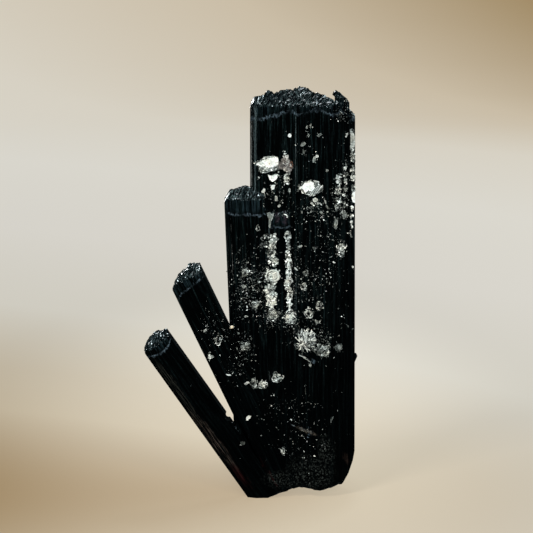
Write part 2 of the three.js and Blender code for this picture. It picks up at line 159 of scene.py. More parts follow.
ROOT_DEPTH = 6            # how far a prism runs on below the standing plane
STRIA_WIDTH = (0.22, 0.62)
STRIA_DEPTH = 0.10        # of the deepest fine stria
RIB_DEPTH = 0.20          # of the broad ribs, some 2 mm wide, that the striae lie on
ROW_PITCH = 3.4           # spacing of the rows of points along a prism
LEDGES_PER_CM = 0.07      # places where a stria stops short, for each centimetre of prism
LEDGE_STEP = 0.16
LEDGE_RISE = 0.12         # the length over which a ledge steps back
LEDGE_FADE = 9            # the length over which the prism comes out again above a ledge
LINE_WAVE = 0.5           # how far the growth line wanders up and down
LINE_STEP = 0.02          # how far the prism stands back above its growth line
CAP_PITCH = 0.2           # spacing of the points on an etched cap
OVERSHOOT = 3             # how far the raw prism runs on past its cap, which is then cut


def smooth_noise(seed, x, y=0.0):
    """Value noise from -1 to 1 with a lattice spacing of 1."""
    x, y = np.broadcast_arrays(np.asarray(x, float), np.asarray(y, float))
    size = 256
    table = np.random.default_rng(seed).uniform(-1, 1, (size, size))
    ix, iy = np.floor(x).astype(int), np.floor(y).astype(int)
    fx, fy = x - ix, y - iy
    fx, fy = fx * fx * (3 - 2 * fx), fy * fy * (3 - 2 * fy)
    near = table[ix % size, iy % size] * (1 - fx) + table[(ix + 1) % size, iy % size] * fx
    far = table[ix % size, (iy + 1) % size] * (1 - fx) + table[(ix + 1) % size, (iy + 1) % size] * fx
    return near * (1 - fy) + far * fy


def looking_along(degrees):
    return np.array([math.sin(math.radians(degrees)), -math.cos(math.radians(degrees))])


def faces_of(spec):
    """Where each face looks, and its distance from the axis."""
    return [*zip(FACES, spec.reach), *spec.blunt]


def section_corners(spec):
    """What is left of a large square when each of the faces has cut it."""
    corners = [np.array(c, float) for c in ((-90, -90), (90, -90), (90, 90), (-90, 90))]
    for face, reach in faces_of(spec):
        out = looking_along(spec.turn + face)
        over = [c @ out - reach for c in corners]
        kept = []
        for k, corner in enumerate(corners):
            after = (k + 1) % len(corners)
            if over[k] <= 0:
                kept.append(corner)
            if over[k] * over[after] < 0:
                kept.append(corner + (corners[after] - corner) * over[k] / (over[k] - over[after]))
        corners = kept
    return corners


def axis_length(spec):
    return math.dist(spec.root, spec.tip)


def axis_frame(spec):
    """The matrix that puts a crystal, built upright at the origin, on its own axis."""
    axis = Vector(spec.tip) - Vector(spec.root)
    upright = Vector((0, 0, 1)).rotation_difference(axis).to_matrix().to_4x4()
    return Matrix.Translation(spec.root) @ upright


def cap_height(spec, x, y):
    """Height of the smooth cap over the crystal's own x and y."""
    height = np.full(np.shape(x), np.inf)
    for looks, slope, over in spec.cap:
        out = looking_along(looks)
        down = (x - spec.apex[0]) * out[0] + (y - spec.apex[1]) * out[1]
        height = np.minimum(height, axis_length(spec) + over - down * math.tan(math.radians(slope)))
    return height


def line_depth(spec, x):
    """Depth of the growth line under the cap, over the crystal's own x."""
    return np.interp(x, *zip(*spec.line))


def mesh_object(name, verts, faces):
    mesh = bpy.data.meshes.new(name)
    mesh.from_pydata([tuple(v) for v in verts], [], faces)
    mesh.validate()
    made = bpy.data.objects.new(name, mesh)
    bpy.context.scene.collection.objects.link(made)
    return made


def skin(rings):
    """Faces of a closed tube through rings of points, with a flat face on each end."""
    count = rings.shape[1]
    faces = []
    for r in range(len(rings) - 1):
        for k in range(count):
            after = (k + 1) % count
            low, high = r * count, (r + 1) * count
            faces.append((low + k, low + after, high + after, high + k))
    faces.append(tuple(reversed(range(count))))
    faces.append(tuple(range((len(rings) - 1) * count, len(rings) * count)))
    return faces


def striated_section(draw, spec):
    """Points round the section: where each is, its way out, the depth of its stria and its arc."""
    corners = section_corners(spec)
    base, out, depth, arc = [], [], [], []
    girth = 0.0
    for k, corner in enumerate(corners):
        side = corners[(k + 1) % len(corners)] - corner
        length = float(np.hypot(*side))
        along = side / length
        places, depths = [0.0], [0.0]
        at = draw.uniform(*STRIA_WIDTH)
        while at < length - STRIA_WIDTH[0]:
            places.append(at)
            depths.append(-STRIA_DEPTH * draw.random() ** 1.4)
            at += draw.uniform(*STRIA_WIDTH)
        base += [corner + along * place for place in places]
        out += [np.array([along[1], -along[0]])] * len(places)
        depth += depths
        arc += [girth + place for place in places]
        girth += length
    return np.array(base), np.array(out), np.array(depth), np.array(arc), girth


def striated_prism(name, spec, seed):
    """The raw prism: its section drawn in striae, and swept with ribs that come and go."""
    draw = np.random.default_rng(seed)
    slim = max(spec.reach) < SLIM
    fine = SLIM_SHARE if slim else 1.0
    base, out, depth, arc, girth = striated_section(draw, spec)

    length = axis_length(spec)
    start = -ROOT_DEPTH if spec.root[2] <= 0 else 0.0
    shares = list(np.linspace(0, 1, max(3, int(length / ROW_PITCH))))
    ledges = []
    for _ in range(0 if slim else int(length / 10 * LEDGES_PER_CM * len(section_corners(spec)) / 3)):
        share = draw.uniform(0.05, 0.985)
        shares += [share, share + LEDGE_RISE / length]
        ledges.append((share, draw.uniform(0, girth), draw.uniform(0.4, 2.4), draw.uniform(0.3, 1)))
    shares = np.unique(np.clip(shares, 0, 1))

    top = cap_height(spec, base[:, 0], base[:, 1])
    above = line_depth(spec, base[:, 0])
    line = top - above + LINE_WAVE * smooth_noise(seed + 1, arc / 2.3) * fine
    rings = []
    for share in shares:
        height = start + share * (line - start)
        lift = depth * fine * (0.7 + 0.5 * smooth_noise(seed + 2, arc / 0.8, height / 17))
        lift += RIB_DEPTH * fine * 0.5 * (smooth_noise(seed + 3, arc / 2.1, height / 46) - 0.55)
        for ledge, middle, reach, strength in ledges:
            if share > ledge:
                inside = np.clip(1.4 - np.abs(arc - middle) / reach, 0, 1)
                fade = math.exp(-(share - ledge) * length / LEDGE_FADE)
                lift -= LEDGE_STEP * strength * inside * fade
        lift[depth == 0] = np.clip(lift[depth == 0], -0.04 * fine, 0.02 * fine)
        rings.append(np.column_stack([base + out * lift[:, None], height]))
    last = rings[-1]
    for rise, back in ((0.22, 1.0), (0.6 * above, 0.8), (above + OVERSHOOT, 0.5)):
        step = LINE_STEP * fine * back
        rings.append(np.column_stack([last[:, :2] - out * step, last[:, 2] + rise]))
    rings = np.array(rings)
    return mesh_object(name, rings.reshape(-1, 3), skin(rings))


def shingles(seed, x, y, lean, length, width):
    """Etched relief from -1 to 0: overlapping plates, long in one direction, each tipped its own way."""
    u = (x * math.cos(lean) + y * math.sin(lean)) / length
    v = (-x * math.sin(lean) + y * math.cos(lean)) / width
    u = u + 0.35 * smooth_noise(seed, v * 0.7, u)
    table = np.random.default_rng(seed + 5).random((64, 64, 5))
    best = np.full(np.shape(u), np.inf)
    relief = np.zeros(np.shape(u))
    cu, cv = np.floor(u).astype(int), np.floor(v).astype(int)
    for du in (-1, 0, 1):
        for dv in (-1, 0, 1):
            cell = table[(cu + du) % 64, (cv + dv) % 64]
            mu, mv = cu + du + cell[..., 0], cv + dv + cell[..., 1]
            away = (u - mu) ** 2 + (v - mv) ** 2
            tipped = 1.6 * (cell[..., 3] - 0.5) * (u - mu)
            plate = tipped - cell[..., 2] - (1.9 * cell[..., 4] - 0.5) * (v - mv)
            nearer = away < best
            best = np.where(nearer, away, best)
            relief = np.where(nearer, plate, relief)
    return np.clip(relief, -1.4, 0.25) - 0.25


def height_solid(name, xs, ys, height, floor):
    """A closed block over a grid, flat below and with the given relief on top."""
    nx, ny = len(xs), len(ys)
    gx, gy = np.meshgrid(xs, ys, indexing="ij")
    top = np.column_stack([gx.ravel(), gy.ravel(), height.ravel()])
    rim = [i * ny for i in range(nx)] + [(nx - 1) * ny + j for j in range(1, ny)]
    rim += [i * ny + ny - 1 for i in range(nx - 2, -1, -1)] + [j for j in range(ny - 2, 0, -1)]
    below = top[rim].copy()
    below[:, 2] = floor
    faces = []
    for i in range(nx - 1):
        for j in range(ny - 1):
            a, b, c, d = i * ny + j, (i + 1) * ny + j, (i + 1) * ny + j + 1, i * ny + j + 1
            faces += [(a, b, c), (a, c, d)]
    first = nx * ny
    for k, at in enumerate(rim):
        after = (k + 1) % len(rim)
        faces.append((at, first + k, first + after, rim[after]))
    faces.append(tuple(first + k for k in reversed(range(len(rim)))))
    return mesh_object(name, np.vstack([top, below]), faces)


def cut(piece, tool, operation):
    """Joins or cuts piece with tool, which is used up."""
    step = piece.modifiers.new(operation, "BOOLEAN")
    step.operation = operation
    step.solver = "MANIFOLD"
    step.object = tool
    shaped = bpy.data.meshes.new_from_object(
        piece.evaluated_get(bpy.context.evaluated_depsgraph_get())
    )
    piece.modifiers.clear()
    piece.data = shaped
    bpy.data.objects.remove(tool)


def capped(prism, spec, seed):
    """Cuts the raw prism with its etched cap: slanting shingles, finer ones on them, and dips."""
    corners = np.array(section_corners(spec))
    pitch = CAP_PITCH
    margin = 0.5
    xs = np.arange(corners[:, 0].min() - margin, corners[:, 0].max() + margin + pitch, pitch)
    ys = np.arange(corners[:, 1].min() - margin, corners[:, 1].max() + margin + pitch, pitch)
    gx, gy = np.meshgrid(xs, ys, indexing="ij")
    relief = 0.7 * shingles(seed, gx, gy, math.radians(54), 2.4, 0.9)
    relief += 0.35 * shingles(seed + 9, gx, gy, math.radians(44), 1.3, 0.55)
    relief += 0.35 * smooth_noise(seed + 3, gx / 2.6, gy / 2.6) + 0.55
    height = cap_height(spec, gx, gy) + spec.etch * relief
    keep = height_solid("keep_" + prism.name, xs, ys, height, -2 * ROOT_DEPTH)
    cut(prism, keep, "INTERSECT")


# A small shell-shaped chip is out of the edge of the outer leaning crystal.
NOTCHED_CRYSTAL = "lean_outer"
NOTCH_AT = (-6.8, -8.0, 25.0)
NOTCH_RADIUS = 1.15
NOTCH_HALF_LENGTH = 9


def notched(piece):
    draw = np.random.default_rng(77)
    around = np.linspace(0, 2 * math.pi, 14, endpoint=False)
    rings = []
    for y in np.linspace(-NOTCH_HALF_LENGTH, NOTCH_HALF_LENGTH, 15):
        radius = NOTCH_RADIUS * draw.uniform(0.82, 1.08, len(around))
        across = NOTCH_AT[0] + radius * np.cos(around)
        up = NOTCH_AT[2] - radius * np.sin(around)
        rings.append(np.column_stack([across, np.full(len(around), NOTCH_AT[1] + y), up]))
    rings = np.array(rings)
    cut(piece, mesh_object("chip", rings.reshape(-1, 3), skin(rings)), "DIFFERENCE")


# The root is broken off: an arch between the left foot and the rounded right corner, given
# for the front rim, which falls away to the back until it meets the standing plane.
UNDERSIDE = [
    (5.2, 0.0), (8.2, 1.8), (11.6, 2.8), (15.4, 3.7), (20.6, 2.7), (24.6, 3.5), (27.5, 5.0),
    (29.3, 7.8), (30.6, 11.4), (31.8, 18.0), (60, 26),
]
UNDERSIDE_FALL = math.radians(13)
UNDERSIDE_FRONT = -9.2
BREAK_PITCH = 0.34


def broken_root(x, y):
    """Height of the broken underside, which stands on 0 where it is lowest."""
    rim = np.interp(x, *zip(*UNDERSIDE), left=-1.5)
    behind = y - UNDERSIDE_FRONT * math.cos(UNDERSIDE_FALL)
    height = rim / math.cos(UNDERSIDE_FALL) - behind * math.tan(UNDERSIDE_FALL)
    waves = np.sin(2.2 * np.hypot(x - 19, y + 14) + 2 * smooth_noise(61, x / 5, y / 5))
    rough = 0.55 * smooth_noise(62, x / 3.1, y / 3.1) + 0.22 * smooth_noise(63, x / 0.9, y / 0.9)
    return np.maximum(height + rough + 0.16 * waves, 0)


def break_root(piece):
    xs = np.arange(-12, 40, BREAK_PITCH)
    ys = np.arange(-18, 18, BREAK_PITCH)
    gx, gy = np.meshgrid(xs, ys, indexing="ij")
    cut(piece, height_solid("below_root", xs, ys, broken_root(gx, gy), -30), "DIFFERENCE")


tourmaline = None
for number, (name, spec) in enumerate(CRYSTALS.items()):
    crystal = striated_prism(name, spec, 100 + 10 * number)
    capped(crystal, spec, 500 + 10 * number)
    crystal.data.transform(axis_frame(spec))
    bpy.context.view_layer.update()
    if name == NOTCHED_CRYSTAL:
        notched(crystal)
    if tourmaline:
        cut(tourmaline, crystal, "UNION")
    else:
        tourmaline = crystal
break_root(tourmaline)
tourmaline.name = "tourmaline_crystals_striated"


def points_of(mesh):
    co = np.empty(3 * len(mesh.vertices))
    mesh.vertices.foreach_get("co", co)
    return co.reshape(-1, 3)


def keep_largest_body(mesh):
    """Drops any crumb that the cuts have left beside the main body."""
    work = bmesh.new()
    work.from_mesh(mesh)
    seen, bodies = set(), []
    for vert in work.verts:
        if vert in seen:
            continue
        body, waiting = [], [vert]
        seen.add(vert)
        while waiting:
            at = waiting.pop()
            body.append(at)
            for edge in at.link_edges:
                other = edge.other_vert(at)
                if other not in seen:
                    seen.add(other)
                    waiting.append(other)
        bodies.append(body)
    bodies.sort(key=len)
    for body in bodies[:-1]:
        bmesh.ops.delete(work, geom=body, context="VERTS")
    work.to_mesh(mesh)
    work.free()


def moved(points, matrix):
    """An array of points, moved by a matrix."""
    matrix = np.array(matrix)
    return points @ matrix[:3, :3].T + matrix[:3, 3]


CAP_MARGIN = 0.2          # a face that lies further inside the prism's sides is on the cap
OFF_CAP = -9              # the height that a face gets in the etching where it isn't on the cap


def mark_growth(mesh):
    """Gives every corner its place in its own crystal, and how it lies to the line and the cap."""
    points = points_of(mesh)
    middles = np.array([p.center for p in mesh.polygons])
    best = np.full(len(middles), np.inf)
    owner = np.zeros(len(middles), int)
    on_cap = np.zeros(len(middles), bool)
    for number, spec in enumerate(CRYSTALS.values()):
        local = moved(middles, axis_frame(spec).inverted())
        side = np.max([
            local[:, :2] @ looking_along(spec.turn + face) - reach
            for face, reach in faces_of(spec)
        ], axis=0)
        cap = local[:, 2] - cap_height(spec, local[:, 0], local[:, 1])
        away = np.abs(np.maximum(side, cap))
        nearer = away < best
        best = np.where(nearer, away, best)
        owner = np.where(nearer, number, owner)
        on_cap = np.where(nearer, side < -CAP_MARGIN, on_cap)

    corner_point = np.empty(len(mesh.loops), int)
    mesh.loops.foreach_get("vertex_index", corner_point)
    corner_face = np.repeat(np.arange(len(middles)), [p.loop_total for p in mesh.polygons])
    grain = np.zeros((len(mesh.loops), 3), np.float32)
    growth = np.zeros((len(mesh.loops), 3), np.float32)
    for number, spec in enumerate(CRYSTALS.values()):
        mine = owner[corner_face] == number
        local = moved(points[corner_point[mine]], axis_frame(spec).inverted())
        cap = cap_height(spec, local[:, 0], local[:, 1])
        grain[mine] = local
        growth[mine, 0] = (cap - line_depth(spec, local[:, 0]) - local[:, 2]) * spec.thin
        rise = (local[:, 2] - cap) / spec.etch + spec.pale
        growth[mine, 1] = np.where(on_cap[corner_face[mine]], rise, OFF_CAP)
    for name, values in (("grain", grain), ("growth", growth)):
        mesh.attributes.new(name, "FLOAT_VECTOR", "CORNER").data.foreach_set("vector", values.ravel())


def smooth_corners(spec):
    """Where the edges of the prism meet its smooth cap."""
    flat = np.array(section_corners(spec))
    top = np.column_stack([flat, cap_height(spec, flat[:, 0], flat[:, 1])])
    return moved(top, axis_frame(spec))


keep_largest_body(tourmaline.data)
mark_growth(tourmaline.data)

# The cluster is drawn round the foot of its main crystals, and its place is the frame's.
low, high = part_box("tourmaline_crystals")
drawn = np.vstack([smooth_corners(spec) for spec in CRYSTALS.values()])
drawn_middle = (drawn.min(0) + drawn.max(0)) / 2
seat = Vector((
    (low.x + high.x) / 2 / MM - drawn_middle[0], (low.y + high.y) / 2 / MM - drawn_middle[1], 0,
))
tourmaline.data.transform(Matrix.Scale(MM, 4) @ Matrix.Translation(seat))
for polygon in tourmaline.data.polygons:
    polygon.use_smooth = True
tourmaline.data.set_sharp_from_angle(angle=math.radians(14))


class Finish:
    """A node material. Each call adds a node, and its output can feed the next ones."""

    def __init__(self, name):
        self.material = bpy.data.materials.new(name)
        self.material.use_nodes = True
        self.tree = self.material.node_tree
        self.tree.nodes.clear()

    def add(self, kind, inputs=None, **settings):
        """A node by type, with its settings and its inputs: values, or other nodes' outputs."""
        node = self.tree.nodes.new("ShaderNode" + kind)
        for key, value in settings.items():
            setattr(node, key, value)
        for key, value in (inputs or {}).items():
            if isinstance(value, bpy.types.NodeSocket):
                self.tree.links.new(value, node.inputs[key])
            else:
                node.inputs[key].default_value = value
        return node

    def place(self):
        return self.add("TexCoord").outputs["Object"]

    def mark(self, name, output="Fac"):
        """What the mesh holds under that name."""
        return self.add("Attribute", attribute_name=name).outputs[output]

    def parts_of(self, vector):
        return self.add("SeparateXYZ", {0: vector}).outputs

    def laid(self, vector, kind="POINT", **inputs):
        """A place that is moved, turned or stretched before a pattern reads it."""
        return self.add("Mapping", {"Vector": vector, **inputs}, vector_type=kind).outputs[0]

    def noise(self, vector, scale, detail, roughness=0.5, output=0):
        inputs = {"Vector": vector, "Scale": scale, "Detail": detail, "Roughness": roughness}
        return self.add("TexNoise", inputs).outputs[output]

    def ranged(self, value, start, end, least=0.0, most=1.0, **settings):
        """A value that runs from least to most where the given one runs from start to end."""
        inputs = {0: value, 1: start, 2: end, 3: least, 4: most}
        return self.add("MapRange", inputs, **settings).outputs[0]

    def vector(self, operation, inputs, output=0):
        return self.add("VectorMath", inputs, operation=operation).outputs[output]

    def math(self, operation, *values):
        return self.add("Math", dict(enumerate(values)), operation=operation).outputs[0]

    def times(self, value, other):
        return self.math("MULTIPLY", value, other)

    def added(self, value, factor, other):
        """The value, taken factor times, on top of another."""
        return self.math("MULTIPLY_ADD", value, factor, other)

    def mixed(self, share, under, over, blend="MIX"):
        return self.add("MixRGB", {0: share, 1: under, 2: over}, blend_type=blend).outputs[0]

    def ramp(self, value, shades):
        """A colour for each value, from pairs of a value and its colour."""
        node = self.add("ValToRGB", {0: value})
        stops = node.color_ramp.elements
        while len(stops) < len(shades):
            stops.new(0.5)
        for stop, (position, color) in zip(stops, shades):
            stop.position, stop.color = position, (*color, 1)
        return node.outputs[0]

    def bump(self, height, strength, distance):
        inputs = {"Height": height, "Strength": strength, "Distance": distance}
        return self.add("Bump", inputs).outputs[0]

    def surface(self, inputs):
        """Puts the shader at the end, and gives the finished material."""
        shader = self.add("BsdfPrincipled", inputs)
        self.add("OutputMaterial", {"Surface": shader.outputs[0]})
        return self.material


PATCH_MIDDLE, PATCH_DEPTH = -9, 8    # where the patches lie from front to back, and how far they reach
PATCH_WANDER = 1.6                   # how far the outline of a patch wanders


def seen_from_front(finish, places):
    """A mask of soft oval patches: across and up in mm, half width, half height, turn in degrees."""
    position = finish.place()
    wander = finish.noise(position, 900.0, 3, output="Color")
    wander = finish.vector("SUBTRACT", {0: wander, 1: (0.5, 0.5, 0.5)})
    wander = finish.vector("SCALE", {0: wander, "Scale": PATCH_WANDER * MM})
    position = finish.vector("ADD", {0: position, 1: wander})
    mask = 0.0
    for x, z, half_width, half_height, turn in places:
        laid = finish.laid(
            position, "TEXTURE",
            Location=(x * MM, PATCH_MIDDLE * MM, z * MM),
            Rotation=(0, math.radians(turn), 0),
            Scale=(half_width * MM, PATCH_DEPTH * MM, half_height * MM),
        )
        oval = finish.ranged(finish.vector("LENGTH", {0: laid}, "Value"), 1.15, 0.45)
        mask = finish.math("MAXIMUM", oval, mask)
    return mask


# Where the front faces are stained, and where painted reflections lie: across, up, half width, half height,
# turn.
# The first two are painted reflections of the floor on the striae of the outer leaning crystal's lower-left
# bevel: grey lines, and warm brown stripes.
PAINTED_GREY_REFLECTIONS = [(-22.0, 33.3, 1.2, 14.0, -35)]
PAINTED_FLOOR_REFLECTIONS = [(-11.4, 18.0, 1.5, 13.0, -36)]
IRON_SPOT = [(28.4, 11.6, 0.8, 2.2, -20)]
RED_STREAKS = [(6.3, 5.6, 0.5, 3.4, -29), (3.5, 10.5, 0.4, 2.4, -29), (-3.2, 7.0, 1.2, 5.0, -38)]
VIOLET_PATCHES = [(7.7, 84.8, 0.75, 1.7, 0), (9.9, 84.6, 0.75, 2.1, 0)]
CLAY_DUST = [(17.6, 7.4, 7.6, 5.6, 0), (8.6, 5.4, 5.6, 2.6, 10), (22.6, 14.0, 2.6, 5.6, -12)]
BROWN_NEEDLE = [(16.6, 20.5, 3.2, 0.55, 22), (17.8, 19.9, 2.0, 0.45, 24)]


def tourmaline_finish():
    finish = Finish("black_tourmaline")
    grain = finish.mark("grain", "Vector")
    over_line, over_cap, _ = finish.parts_of(finish.mark("growth", "Vector"))
    slanting = finish.laid(grain, "TEXTURE", Rotation=(0, 0, math.radians(62)), Scale=(1.9, 0.3, 1.2))
    streaks = finish.noise(finish.laid(grain, Scale=(1.7, 1.7, 0.07)), 1.0, 4, 0.7)
    hairlines = finish.noise(finish.laid(grain, Scale=(3.2, 3.2, 0.16)), 1.0, 3, 0.6)
    grit = finish.noise(finish.laid(grain, Scale=(3.0, 3.0, 1.3)), 1.0, 4, 0.75)
    hatch = finish.noise(slanting, 1.0, 2, 0.6)
    specks = finish.noise(grain, 2.0, 3, 0.7)
    areas = finish.noise(grain, 0.16, 2, 0.6)
    reaches = finish.noise(grain, 0.42, 2, 0.5)
    wander = finish.noise(grain, 0.9, 1, 0.5)

    # The growth line: a thin blue-grey zone with a ragged edge, gone in some places.
    depth = finish.added(finish.math("ADD", hairlines, grit), 1.3, over_line)
    depth = finish.added(wander, 2.4, depth)
    line = finish.ranged(depth, 3.1, 2.7)
    line = finish.times(line, finish.ranged(depth, 1.9, 2.4))
    line = finish.times(line, finish.ranged(grit, 0.43, 0.6, 0.08))
    line = finish.times(line, finish.ranged(reaches, 0.42, 0.6, 0.1))

    # The body: black, with dark sea-green streaks along the prism, partly its own tint and partly painted
    # glints on the striae, which fade towards the root.
    body = finish.ramp(streaks, [
        (0.5, (0.0001, 0.0002, 0.0002)), (0.6, (0.0028, 0.0058, 0.0060)), (0.7, (0.0085, 0.016, 0.0165)),
    ])
    faded = finish.ranged(finish.parts_of(finish.place())[2], 20 * MM, 84 * MM, 0.25)
    faded = finish.times(faded, finish.ranged(grit, 0.4, 0.62, 0.3, 1.4))
    color = finish.mixed(1.0, body, faded, "MULTIPLY")
    color = finish.mixed(line, color, (0.074, 0.106, 0.128, 1))

    # Between the line and the cap, grey-green streaks run down from the cap.
    fringe = finish.times(finish.ranged(over_line, -0.4, -2.4), finish.ranged(hairlines, 0.5, 0.68))
    color = finish.mixed(fringe, color, (0.010, 0.019, 0.023, 1))

    # The caps: black, with slanting steel-grey strokes painted as glints of light where the etching stands
    # up.
    on_cap = finish.ranged(over_cap, -3.0, -2.0)
    strokes = finish.times(finish.ranged(hatch, 0.52, 0.64), on_cap)
    crest_glint = finish.times(finish.ranged(over_cap, -0.9, 0.2, 0.05), strokes)
    color = finish.mixed(crest_glint, color, (0.068, 0.096, 0.100, 1))

    # The stains and the painted reflections, each broken up by one of the patterns.
    for places, stain, pattern, least in (
        (PAINTED_GREY_REFLECTIONS, (0.026, 0.027, 0.022, 1), hairlines, 0.48),
        (PAINTED_FLOOR_REFLECTIONS, (0.048, 0.037, 0.029, 1), hairlines, 0.5),
        (IRON_SPOT, (0.020, 0.013, 0.010, 1), streaks, 0.46),
        (RED_STREAKS, (0.016, 0.004, 0.004, 1), streaks, 0.46),
        (VIOLET_PATCHES, (0.025, 0.018, 0.024, 1), grit, 0.44),
        (CLAY_DUST, (0.026, 0.031, 0.027, 1), specks, 0.52),
        (BROWN_NEEDLE, (0.056, 0.049, 0.038, 1), specks, 0.42),
    ):
        strength = finish.ranged(pattern, least, least + 0.12)
        strength = finish.times(strength, seen_from_front(finish, places))
        color = finish.mixed(strength, color, stain)

    # The gloss of glass, a little duller on the caps, and fine relief along the prism.
    rough = finish.ranged(hairlines, 0.36, 0.64, 0.04, 0.11)
    rough = finish.added(on_cap, 0.03, rough)
    relief = finish.times(grit, finish.ranged(areas, 0.42, 0.62, 0.15))
    for pattern, height in ((hairlines, 0.9), (streaks, 2.4), (strokes, 0.8)):
        relief = finish.added(pattern, height, relief)
    return finish.surface({
        "Base Color": color, "Roughness": rough, "Normal": finish.bump(relief, 0.12, 0.13 * MM),
        "IOR": 1.64, "Specular IOR Level": 0.35, "Specular Tint": (0.8, 0.95, 1.0, 1),
    })


tourmaline.data.materials.clear()
tourmaline.data.materials.append(tourmaline_finish())
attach(tourmaline, "root")
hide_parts("tourmaline_crystals")

# ---------------------------------------------------------------- the crown book
# Zinnwaldite is a lithium mica: silvery plates that cleave into thin leaves. The largest book
# lies flat below the crown, white leaves with a torn spur on the left, over a ledge of small
# grey-green books. Like all the mica here, it is bonded where it grew.

host = BVHTree.FromPolygons(
    [tuple(point) for point in points_of(tourmaline.data) / MM],
    [tuple(polygon.vertices) for polygon in tourmaline.data.polygons],
)
TO_THE_BACK = Vector((0, 1, 0))
TO_THE_FRONT = Vector((0, -1, 0))
STAINED = 2.0             # the tone of a spot of iron stain; other tones run from 0 to 1
ANY_TURN = (0, 6.3)       # radians


def surface_at(x, z, sight):
    """Where a line of sight meets the tourmaline, and which way the surface looks there."""
    return host.ray_cast(Vector((x, 0, z)) - sight * 100, sight)[:2]


def seat_on(hit, outward):
    """A frame on a face: X across, Y up and Z off the face."""
    right = Vector((0, 0, 1)).cross(outward).normalized()
    above = outward.cross(right)
    return Matrix.Translation(hit) @ Matrix((right, above, outward)).transposed().to_4x4()


def on_face(x, z, sight):
    hit, outward = surface_at(x, z, sight)
    return None if hit is None else seat_on(hit, outward)


def extent_of(node):
    """The middle of a node's box, across and up, and its width and height."""
    low, high = (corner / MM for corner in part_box(node))
    return (low.x + high.x) / 2, (low.z + high.z) / 2, high.x - low.x, high.z - low.z


def leaf_of(outline, lift, thickness, rings=((0.5, 0.0), (0.84, 0.3), (1.0, 1.0))):
    """A thin leaf: rings inside its outline, raised by shares of lift, an edge and an underside."""
    count = len(outline)
    middle = outline.mean(0)
    tops = [
        np.column_stack([middle + (outline - middle) * share, thickness / 2 + lift * raised])
        for share, raised in rings
    ]
    verts = np.vstack(tops + [tops[-1] - [0, 0, thickness]])
    faces, rim = [tuple(range(count))], [0.0]
    for ring in range(len(rings)):
        for k in range(count):
            after = (k + 1) % count
            near, far = ring * count, (ring + 1) * count
            faces.append((near + k, far + k, far + after, near + after))
            rim.append((ring + 1) / len(rings))
    faces.append(tuple(reversed(range(len(verts) - count, len(verts)))))
    rim.append(0.6)
    return verts, faces, rim


def curled(draw, outline, thickness, curl, least=-0.5):
    """A leaf with an uneven rim, which stands up by least to 1 times curl."""
    return leaf_of(outline, curl * draw.uniform(least, 1.0, len(outline)), thickness)


def torn(draw, corners, width, height, step=0.28, rough=0.09):
    """An outline through corners, given as shares of width and height, with a torn edge."""
    corners = np.array(corners) * (width, height)
    outline = []
    for k, corner in enumerate(corners):
        side = corners[(k + 1) % len(corners)] - corner
        pieces = max(1, int(np.hypot(*side) / step))
        for n in range(pieces):
            outline.append(corner + side * n / pieces + rough * draw.uniform(-1, 1, 2))
    return np.array(outline)


def chip(draw, width, height, thickness=0.07):
    """A small book: a few-sided plate with a raised rim."""
    count = draw.integers(4, 8)
    around = (np.arange(count) + draw.uniform(-0.3, 0.3, count)) * 2 * math.pi / count
    reach = draw.uniform(0.6, 1.2, count) / 2
    outline = np.column_stack([np.cos(around) * width, np.sin(around) * height]) * reach[:, None]
    lift = 0.12 * min(width, height) * draw.uniform(0.4, 1.6, count)
    return leaf_of(outline, lift, thickness, rings=((0.66, 0.0), (1.0, 1.0)))


def rolled_leaf(radius, sweep, width, height):
    """A leaf that stands on its edge, rolled into part of a loop."""
    steps = 3 + int(sweep / 0.5)
    around = np.linspace(0, sweep, steps)
    rails = []
    for across, above in ((-0.5, 0.0), (0.0, 1.0), (0.5, 0.0)):
        reach = radius * np.linspace(1, 1.3, steps) + across * width
        x, y = reach * np.cos(around), reach * np.sin(around)
        rails.append(np.column_stack([x, y, np.full(steps, above * height)]))
    rings = np.array(rails).transpose(1, 0, 2)
    faces = skin(rings)
    return rings.reshape(-1, 3), faces, [0.7] * len(faces)


